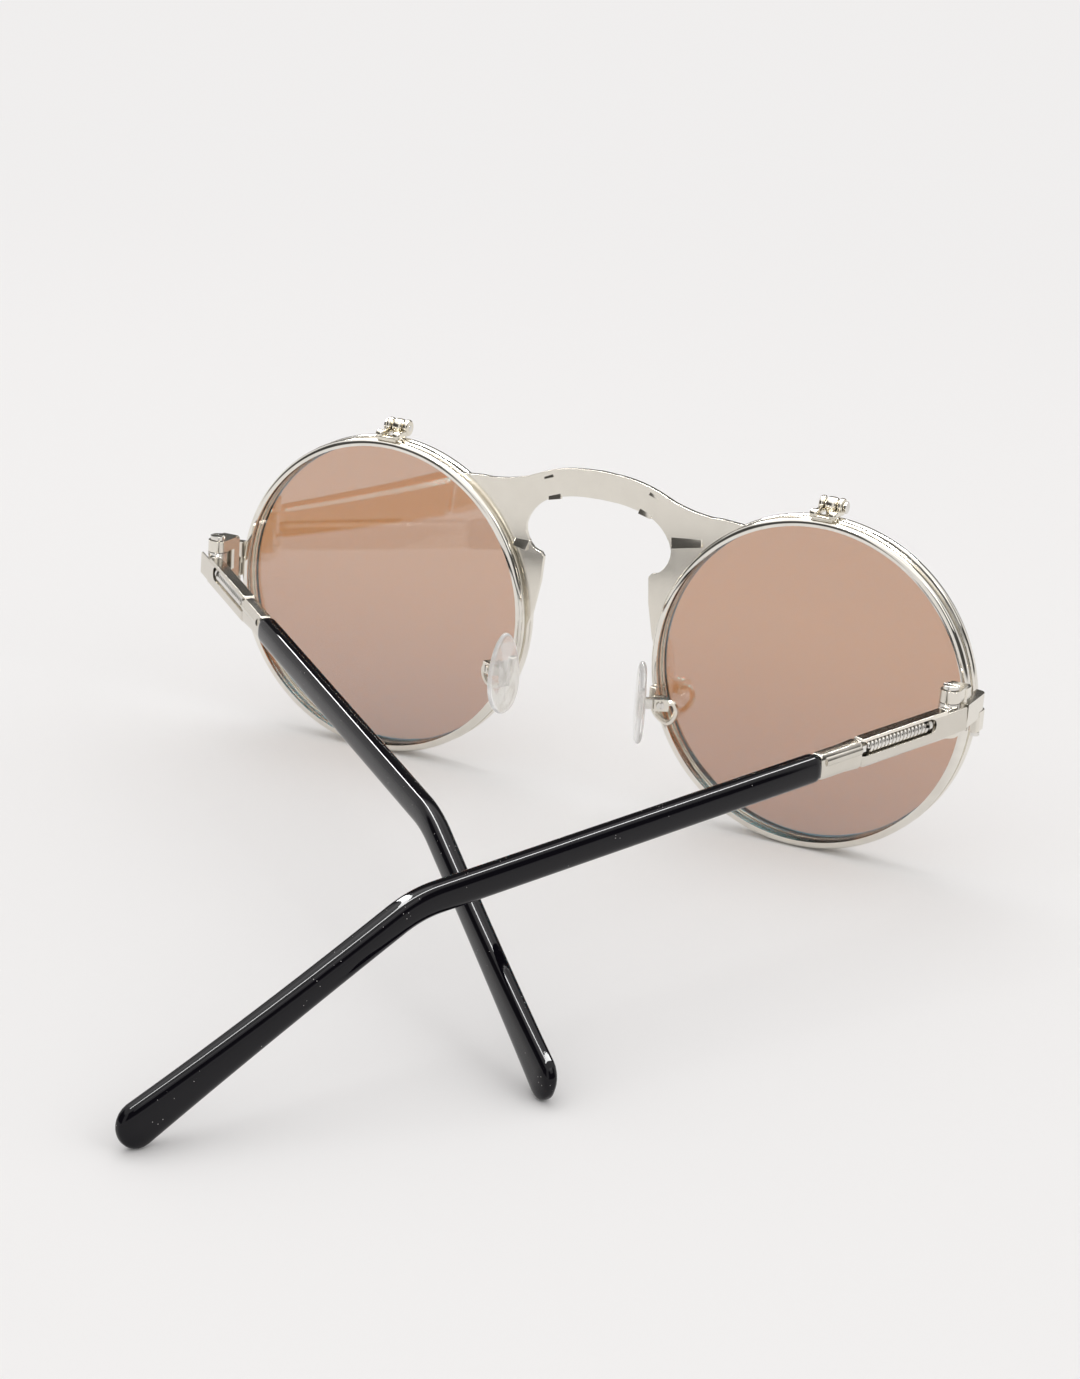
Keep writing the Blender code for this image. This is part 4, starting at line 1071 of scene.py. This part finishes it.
@dataclass
class NosePads:
    """Clear silicone pads, each moulded round a small metal plate with a tab."""

    splay_deg: float = 60.0
    height: float = 0.0130
    width: float = 0.0056
    thickness: float = 0.0014
    standoff: float = 0.0022
    narrow: float = 0.18
    levels: tuple[Triple, ...] = (
        (0.0, 0.66, 0.80),
        (0.10, 0.82, 0.90),
        (0.24, 0.94, 0.97),
        (0.40, 1.0, 1.0),
        (0.60, 1.0, 1.0),
        (0.78, 0.95, 0.975),
        (0.91, 0.85, 0.92),
        (0.98, 0.70, 0.84),
    )
    crown_step: float = 0.0007
    crown_rises: tuple[float, float] = (0.0000525, 0.000035)
    outline_steps: int = 48
    plate_size: Triple = (0.0020, 0.00035, 0.0042)
    plate_depth_share: float = 0.45
    plate_rim: float = 0.0004
    plate_edge: float = 0.00008
    plate_edge_segments: int = 2
    tab_width: float = 0.0010
    tab_height: float = 0.0016
    tab_back: float = 0.0007
    front_normal: float = -0.9

    def pad(self, name: str) -> Piece:
        """The silicone body: a drop outline with soft round edges and a crowned face.

        Args:
            name: The piece's name.

        Returns:
            The pad in its own axes: X along the screw, Y towards the nose, Z up.
        """
        piece = new_disc(name, self.outline_steps, 1.0, (0.0, 0.0, 0.0))
        for vert in piece.data.vertices:
            across = (1.0 - self.narrow * vert.co.z) * vert.co.x
            vert.co = Vector((across * self.width / 2, self.standoff, vert.co.z * self.height / 2))
        middle = (0.0, self.standoff, 0.0)
        with editing("FACE"):
            _, wide, tall = self.levels[0]
            bpy.ops.transform.resize(value=(wide, 1.0, tall), center_override=middle)
            for (low, old_wide, old_tall), (high, wide, tall) in zip(self.levels, self.levels[1:]):
                extrude(0.0, (high - low) * self.thickness, 0.0)
                size = (wide / old_wide, 1.0, tall / old_tall)
                bpy.ops.transform.resize(value=size, center_override=middle)
            for rise in self.crown_rises:
                bpy.ops.mesh.inset(thickness=self.crown_step, depth=rise)
        outward(piece)
        soft = piece.modifiers.new("soft", "SUBSURF")
        soft.levels = 1
        soft.render_levels = 1
        apply_all(piece)
        smooth(piece, ROUND_DEG)
        return piece

    def tab_plate(self, name: str) -> Piece:
        """The metal plate inside the silicone with the tab that the screw holds.

        Args:
            name: The piece's name.

        Returns:
            The plate in the pad's own axes.
        """
        inside = self.standoff + self.thickness * self.plate_depth_share
        wide, thick, tall = self.plate_size
        piece = new_block(name, (0.0, inside, 0.0), self.plate_size)
        both_rims = 2 * self.plate_rim
        tab = (self.tab_width / (wide - both_rims), 1.0, self.tab_height / (tall - both_rims))
        with editing_where(piece, "FACE", lambda normal: normal.y < self.front_normal):
            bpy.ops.mesh.inset(thickness=self.plate_rim, depth=0.0)
            bpy.ops.transform.resize(value=tab, center_override=(0, inside, 0))
            extrude(0.0, -(inside - thick / 2 + self.tab_back), 0.0)
        bevel_edges(piece, self.plate_edge, self.plate_edge_segments)
        return closed(piece)

    def placed(self, side: Side) -> Matrix:
        """From the pad's own axes to its place; it mirrors the right side."""
        turn = Matrix.Rotation(math.radians(self.splay_deg), 4, "Z")
        return FACE.beside(side) @ Matrix.Translation(FACE.pad_pivot) @ turn

    def build(self, finishes: Finishes) -> None:
        """Make both pads with their plates."""
        silicone, plate = self.pad("silicone_draft"), self.tab_plate("plate_draft")
        for side, piece in on_both_sides(silicone, "pad_silicone", self.placed, ROUND_DEG):
            finished(piece, side.node("pad"), Slot.PAD, finishes.pad, side.node("nose_pad"))
        for side, piece in on_both_sides(plate, "pad_plate", self.placed, ROUND_DEG):
            finished(piece, side.node("pad"), Slot.STEEL, finishes.steel)


@dataclass
class SoftenedMetal:
    """Metal pieces copied from their CAD nodes, with edges rounded as polishing leaves them."""

    edge: float = 0.00011
    bead_edge: float = 0.00024
    bead_nodes: tuple[str, ...] = ("end_piece", "hinge_carriage")
    segments: int = 4
    sharp_deg: float = 32.0
    flat_deg: float = 2.0
    flat_weight: int = 80

    def rounded(self, node: str, edge: float) -> Piece:
        """Copy a CAD node, merge its loose triangles and round its edges.

        Args:
            node: The CAD node's name.
            edge: The radius of the edges.

        Returns:
            The rounded copy.
        """
        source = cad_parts[node]
        made = bpy.data.objects.new(f"{node}_polished", source.data.copy())
        made.data.name = made.name
        bpy.context.scene.collection.objects.link(made)
        outward(made)
        with editing("VERT"):
            bpy.ops.mesh.dissolve_limited(angle_limit=math.radians(self.flat_deg))
        bevel_edges(made, edge, self.segments, self.sharp_deg)
        smooth(made)
        flat = made.modifiers.new("flat faces stay flat", "WEIGHTED_NORMAL")
        flat.keep_sharp = True
        flat.weight = self.flat_weight
        apply_all(made)
        return made

    def build(self, finishes: Finishes) -> None:
        """Make the rounded copies on both sides."""
        plate = self.rounded("front_frame", self.edge)
        finished(plate, "front", Slot.PLATE, finishes.plate, "front_frame")
        for side in Side:
            pieces = [
                ("end_piece", "front", Slot.PLATE, finishes.plate),
                ("pad_arm", "front", Slot.PLATE, finishes.plate),
                ("hinge_screw", "front", Slot.STEEL, finishes.steel),
                ("flip_hinge_pin", "front", Slot.STEEL, finishes.steel),
                ("hinge_carriage", side.node("hinge"), Slot.STEEL, finishes.steel),
                ("temple_front", side.node("temple"), Slot.PLATE, finishes.temple),
                ("ferrule", side.node("temple"), Slot.PLATE, finishes.temple),
            ]
            for name, body, slot, material in pieces:
                edge = self.bead_edge if name in self.bead_nodes else self.edge
                finished(self.rounded(side.node(name), edge), body, slot, material, side.node(name))


@dataclass(frozen=True)
class Fold:
    """One pressed step: where it starts outwards, its lower edge, length, width and slant."""

    out: float
    up: float
    length: float
    width: float
    rise_deg: float


@dataclass
class BridgeFolds:
    """The pressed steps in the bridge: one beside each ring, two at each end of its raised middle."""

    left_ring_fold: Fold = Fold(0.0116, 0.0117, 0.0024, 0.0017, 12.0)
    right_ring_fold: Fold = Fold(0.0123, 0.0163, 0.0050, 0.0018, 12.0)
    upper_mark: Fold = Fold(0.0079, 0.0238, 0.0016, 0.0005, -20.0)
    lower_mark: Fold = Fold(0.0064, 0.0207, 0.0021, 0.00085, -14.0)
    step_share: float = 0.40
    slope_share: float = 0.85
    taper_share: float = 0.3
    sink_share: float = 0.2
    edge_share: float = 0.15
    edge_segments: int = 4

    def step(self, name: str, fold: Fold) -> Piece:
        """A low ramp on the plate's rear face: flat at its upper edge, stepped at its lower one.

        Args:
            name: The piece's name.
            fold: Its place and size.

        Returns:
            The ramp on the left side.
        """
        depth = fold.width * self.step_share
        middle = (fold.length / 2, 0.0, fold.width / 2)
        piece = new_block(name, middle, (fold.length, 2 * depth, fold.width))
        with editing_where(piece, "VERT", lambda v: v.y > 0.0 and v.z > fold.width / 2):
            bpy.ops.transform.translate(value=(0.0, -depth * self.slope_share, 0.0))
        with editing_where(piece, "VERT", lambda v: v.x > fold.length / 2 and v.z > fold.width / 2):
            bpy.ops.transform.translate(value=(0.0, 0.0, -fold.width * self.taper_share))
        bevel_edges(piece, depth * self.edge_share, self.edge_segments)
        sink = Matrix.Translation((0.0, -depth * self.sink_share, 0.0))
        turn = Matrix.Rotation(-math.radians(fold.rise_deg), 4, "Y")
        place = Matrix.Translation(FACE.world(Side.LEFT, fold.out, 0.0, fold.up))
        piece.data.transform(place @ turn @ sink)
        return closed(piece, SOFT_DEG)

    def build(self, finishes: Finishes) -> None:
        """Make the folds and marks on both sides; the left ring fold sits lower than the right one."""
        draft = self.step("ring_fold_draft", self.right_ring_fold)
        pieces = [self.step("left_ring_fold", self.left_ring_fold)]
        pieces.append(mirrored_copy(draft, "right_ring_fold"))
        bpy.data.objects.remove(draft)
        for label, fold in (("upper", self.upper_mark), ("lower", self.lower_mark)):
            mark = self.step(f"left_{label}_bridge_mark", fold)
            pieces += [piece for _, piece in with_mirror(mark)]
        for piece in pieces:
            finished(piece, "front", Slot.PLATE, finishes.plate)


@dataclass
class FlipHingeEars:
    """The fixed half of each flip hinge: a brazed strip, two beads on it and a barrel before each."""

    barrel_side: float = 0.00145
    barrel_half: float = 0.00044
    barrel_radius: float = 0.0013
    bead_back: float = 0.0010
    bead_up: float = 0.02585
    bead_half: float = 0.00062
    bead_radius: float = 0.00072
    neck_half: float = 0.00034
    neck_rise: float = 0.0005
    strip_half: float = 0.0016
    strip_front: float = 0.0003
    strip_back: float = 0.0017
    strip_bottom: float = 0.0250
    strip_sink: float = 0.0001
    block_edge: float = 0.0002

    def ears(self, name: str) -> Piece:
        """Model the left hinge's fixed half.

        Args:
            name: The piece's name.

        Returns:
            The joined piece.
        """
        side, middle = Side.LEFT, FACE.lens_side
        strip_top = self.bead_up - self.strip_sink
        low = FACE.world(side, middle - self.strip_half, self.strip_front, self.strip_bottom)
        high = FACE.world(side, middle + self.strip_half, self.strip_back, strip_top)
        solids = [rounded_block(name, low, high, self.block_edge)]
        for sign in (-1.0, 1.0):
            out = middle + sign * self.barrel_side
            front, back = FACE.flip_axis_back, self.bead_back
            axis = FACE.world(side, out, front, FACE.flip_axis_up)
            solids.append(turned_barrel("barrel_draft", axis, self.barrel_half, self.barrel_radius))
            low = FACE.world(side, out - self.neck_half, front, self.bead_up - self.neck_rise)
            high = FACE.world(side, out + self.neck_half, back, self.bead_up + self.neck_rise)
            solids.append(rounded_block("neck_draft", low, high, self.block_edge))
            bead = FACE.world(side, out, back, self.bead_up)
            solids.append(turned_barrel("bead_draft", bead, self.bead_half, self.bead_radius))
        return joined(name, solids)

    def build(self, finishes: Finishes) -> None:
        """Make the fixed half on both sides."""
        both = list(with_mirror(self.ears("left_flip_hinge_ears")))
        for side, piece in both:
            finished(piece, "front", Slot.PLATE, finishes.knuckle, side.node("flip_hinge_base"))


@dataclass
class SpringCoils:
    """The springs that show in the temples' slots, wound close from round wire."""

    axis_offset: float = 0.0013
    front_end: float = 0.00645
    rear_end: float = 0.0190
    mean_radius: float = 0.00076
    wire_radius: float = 0.00029
    pitch: float = 0.00074
    wire_steps: int = 12
    turn_steps: int = 28
    travel: float = 0.0013

    def coil(self, name: str) -> Piece:
        """Wind the wire round the rod.

        Args:
            name: The piece's name.

        Returns:
            The coil in the temple's own axes.
        """
        start_piece(name)
        bpy.ops.mesh.primitive_circle_add(
            vertices=self.wire_steps, radius=self.wire_radius, location=(self.mean_radius, 0.0, 0.0)
        )
        piece = name_active(name)
        place_in_mesh(piece)
        winding = piece.modifiers.new("winding", "SCREW")
        winding.axis = "Y"
        winding.angle = math.tau
        winding.screw_offset = self.pitch
        winding.iterations = int((self.rear_end - self.front_end - 2 * self.wire_radius) / self.pitch)
        winding.steps = self.turn_steps
        winding.render_steps = self.turn_steps
        apply_all(piece)
        with editing("VERT"):
            bpy.ops.mesh.fill_holes(sides=0)
        ys = [vert.co.y for vert in piece.data.vertices]
        middle = (self.front_end + self.rear_end) / 2 - (min(ys) + max(ys)) / 2
        piece.data.transform(Matrix.Translation((self.axis_offset, middle, 0.0)))
        outward(piece)
        return piece

    def build(self, finishes: Finishes, temples: TempleSleeves) -> None:
        """Make both coils and put them on the temples.

        Args:
            finishes: The materials.
            temples: The sleeves, which know how each temple lies.
        """
        draft = self.coil("coil_draft")
        for side, piece in on_both_sides(draft, "wound_spring", temples.folded, ROUND_DEG):
            finished(piece, side.node("temple"), Slot.STEEL, finishes.steel, side.node("coil_spring"))
            along = temples.folded(side).to_3x3() @ Vector((0.0, 1.0, 0.0))
            front = temples.folded(side) @ Vector((self.axis_offset, self.front_end, 0.0))
            side.node("flex")
            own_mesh(piece)


class CadDressing:
    """The finishes of the CAD nodes, those that a piece stands for too."""

    def build(self, finishes: Finishes) -> None:
        """Give every CAD node its finish."""
        self.dress("front_frame", finishes.plate)
        plans = [
            (finishes.plate, "end_piece pad_arm temple_front ferrule"),
            (finishes.steel, "flip_hinge_pin hinge_screw rim_screw pad_screw hinge_carriage"),
            (finishes.steel, "spring_seat coil_spring spring_nut core_wire"),
            (finishes.knuckle, "flip_hinge_base"),
            (finishes.rim, "eyewire flip_rim"),
            (finishes.clear, "clear_lens"),
            (finishes.mirror, "flip_lens"),
            (finishes.pad, "nose_pad"),
            (finishes.sleeve, "temple_sleeve"),
        ]
        for material, names in plans:
            for name in names.split():
                for side in Side:
                    self.dress(side.node(name), material)

    def dress(self, node: str, material: bpy.types.Material) -> None:
        """Give one CAD node its finish."""
        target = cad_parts[node]
        target.data.materials.clear()
        target.data.materials.append(material)


@dataclass
class PhotoCamera:
    """A camera at the photograph's viewing angle."""

    place: Triple = (-0.186111, 0.34024, 0.16345)
    right: Triple = (-0.892383, -0.446815, 0.06331)
    up: Triple = (0.193476, -0.252065, 0.948172)
    back: Triple = (-0.407699, 0.858382, 0.311387)
    lens_mm: float = 80.72
    sensor_mm: float = 36.0
    clip_start: float = 0.01

    def build(self) -> None:
        """Make the camera and use it."""
        data = bpy.data.cameras.new("photo camera")
        data.sensor_fit = "VERTICAL"
        data.sensor_height = self.sensor_mm
        data.lens = self.lens_mm
        data.clip_start = self.clip_start
        made = bpy.data.objects.new("photo camera", data)
        turn = Matrix([self.right, self.up, self.back]).transposed()
        made.matrix_world = Matrix.Translation(self.place) @ turn.to_4x4()
        bpy.context.scene.collection.objects.link(made)
        bpy.context.scene.camera = made


@dataclass
class Studio:
    """The pale floor, the white room round it and the lamps."""

    floor_size: float = 12.0
    floor_cuts: int = 8
    floor_colour: Triple = (0.870, 0.866, 0.863)
    floor_cloud_scale: float = 3.0
    floor_cloud_tone: float = 0.985
    floor_roughness: float = 0.85
    fade_edge: tuple[float, float] = (0.16, 0.75)
    room_colour: Triple = (0.872, 0.858, 0.853)
    dark_colour: Triple = (0.07, 0.068, 0.065)
    room_strength: float = 1.0
    ceiling_gain: float = 0.5
    ceiling_edge: tuple[float, float] = (0.56, 0.72)
    sweep_edge: tuple[float, float] = (-0.02, 0.06)
    panel_count: float = 3.0
    panel_shift: float = 0.8
    panel_edge: tuple[float, float] = (0.35, 0.60)
    soft_lamps: tuple = (
        ("large soft lamp", (0.35, -0.25, 1.15), 0.9, 2.3),
        ("side soft lamp", (-0.9, 0.2, 0.7), 0.5, 0.9),
    )
    strip_lamps: tuple = (
        ("strip lamp over the right temple", (0.10, 0.36, 0.9), (-0.42, -0.95, 0.9)),
        ("strip lamp over the left temple", (0.02, -0.02, 0.9), (1.15, -0.98, 0.9)),
    )
    strip_width: float = 0.14
    strip_watts: float = 20.0

    def floor(self) -> None:
        """A wide flat floor."""
        start_piece("floor")
        bpy.ops.mesh.primitive_plane_add(size=self.floor_size, location=(0.0, 0.0, 0.0))
        piece = name_active("floor")
        place_in_mesh(piece)
        with editing("FACE"):
            bpy.ops.mesh.subdivide(number_cuts=self.floor_cuts)
        draft = MaterialDraft("matt white floor")
        cloud = add_node(draft.tree, "TexNoise", {"Scale": self.floor_cloud_scale})
        draft.tree.links.new(draft.place, cloud.inputs["Vector"])
        warm = tuple(c * self.floor_cloud_tone for c in self.floor_colour)
        draft.tint(cloud.outputs["Fac"], self.floor_colour, warm)
        draft.set(Roughness=self.floor_roughness, Specular_IOR_Level=0.0)
        self.fade_to_room(draft)
        piece.data.materials.append(draft.material)

    def fade_to_room(self, draft: MaterialDraft) -> None:
        """Let the floor take the room's colour far from the glasses, so that no horizon shows."""
        tree = draft.tree
        reach = add_node(tree, "VectorMath", operation="LENGTH")
        tree.links.new(draft.place, reach.inputs[0])
        far = soft_step(tree, reach.outputs["Value"], *self.fade_edge)
        paths = add_node(tree, "LightPath").outputs
        seen = math_node(tree, "MAXIMUM", paths["Is Camera Ray"], paths["Is Glossy Ray"])
        seen = math_node(tree, "MAXIMUM", seen, paths["Is Transmission Ray"])
        glow = add_node(tree, "Emission", {"Color": (*self.room_colour, 1.0)})
        draft.cover(math_node(tree, "MULTIPLY", far, seen), glow.outputs["Emission"])

    def room(self) -> None:
        """A white room with darker sides between bright panels, which the metal reflects as bands."""
        world = bpy.data.worlds.new("white room")
        bpy.context.scene.world = world
        world.use_nodes = True
        tree = world.node_tree
        backdrop = tree.nodes["Background"]
        split = add_node(tree, "SeparateXYZ")
        tree.links.new(add_node(tree, "TexCoord").outputs["Generated"], split.inputs["Vector"])
        glossy = add_node(tree, "LightPath").outputs["Is Glossy Ray"]
        ceiling = soft_step(tree, split.outputs["Z"], *self.ceiling_edge)
        wall = soft_step(tree, split.outputs["Z"], *self.sweep_edge)
        bearing = math_node(tree, "ARCTAN2", split.outputs["Y"], split.outputs["X"])
        turns = math_node(tree, "MULTIPLY_ADD", bearing, self.panel_count, self.panel_shift)
        panels = soft_step(tree, math_node(tree, "COSINE", turns), *self.panel_edge)
        dark = math_node(tree, "SUBTRACT", wall, math_node(tree, "MAXIMUM", ceiling, panels))
        dark.node.use_clamp = True
        colours = {"A": (*self.room_colour, 1.0), "B": (*self.dark_colour, 1.0)}
        mix = add_node(tree, "Mix", data_type="RGBA")
        for label, colour in colours.items():
            mix.inputs[label].default_value = colour
        tree.links.new(math_node(tree, "MULTIPLY", dark, glossy), mix.inputs["Factor"])
        tree.links.new(mix.outputs["Result"], backdrop.inputs["Color"])
        seen_ceiling = math_node(tree, "MULTIPLY", ceiling, glossy)
        lift = math_node(tree, "MULTIPLY", seen_ceiling, self.ceiling_gain)
        tree.links.new(math_node(tree, "ADD", lift, self.room_strength), backdrop.inputs["Strength"])

    def lamp(self, name: str, place: Matrix, watts: float, length: float, width: float) -> Piece:
        """An area lamp.

        Args:
            name: Its name.
            place: Its place and turn.
            watts: Its power.
            length: Its size along its own X.
            width: Its size along its own Y.

        Returns:
            The lamp.
        """
        data = bpy.data.lights.new(name, "AREA")
        data.shape = "RECTANGLE"
        data.energy = watts
        data.size = length
        data.size_y = width
        made = bpy.data.objects.new(name, data)
        made.matrix_world = place
        bpy.context.scene.collection.objects.link(made)
        return made

    def build(self) -> None:
        """Make the floor, the room and the lamps, which all face the glasses."""
        self.floor()
        self.room()
        for name, place, size, watts in self.soft_lamps:
            spot = Vector(place)
            turn = spot.to_track_quat("Z", "Y").to_matrix()
            self.lamp(name, Matrix.Translation(spot) @ turn.to_4x4(), watts, size, size)
        for name, near, far in self.strip_lamps:
            along, middle = Vector(far) - Vector(near), (Vector(far) + Vector(near)) / 2
            side = along.normalized()
            back = (middle - middle.project(side)).normalized()
            turn = Matrix([side, back.cross(side), back]).transposed()
            place = Matrix.Translation(middle) @ turn.to_4x4()
            strip = self.lamp(name, place, self.strip_watts, along.length, self.strip_width)
            strip.visible_diffuse = False
            strip.visible_transmission = False


def main() -> None:
    """Build the camera, the finishes, each sub-assembly and the studio."""
    bpy.context.scene.view_settings.view_transform = "Standard"
    PhotoCamera().build()
    finishes = Finishes(Effects())
    temples = TempleSleeves()
    CadDressing().build(finishes)
    LensRims().build(finishes)
    DomedLenses().build(finishes)
    temples.build(finishes)
    SpringCoils().build(finishes, temples)
    NosePads().build(finishes)
    SoftenedMetal().build(finishes)
    BridgeFolds().build(finishes)
    FlipHingeEars().build(finishes)
    Studio().build()


if __name__ == "__main__":
    main()
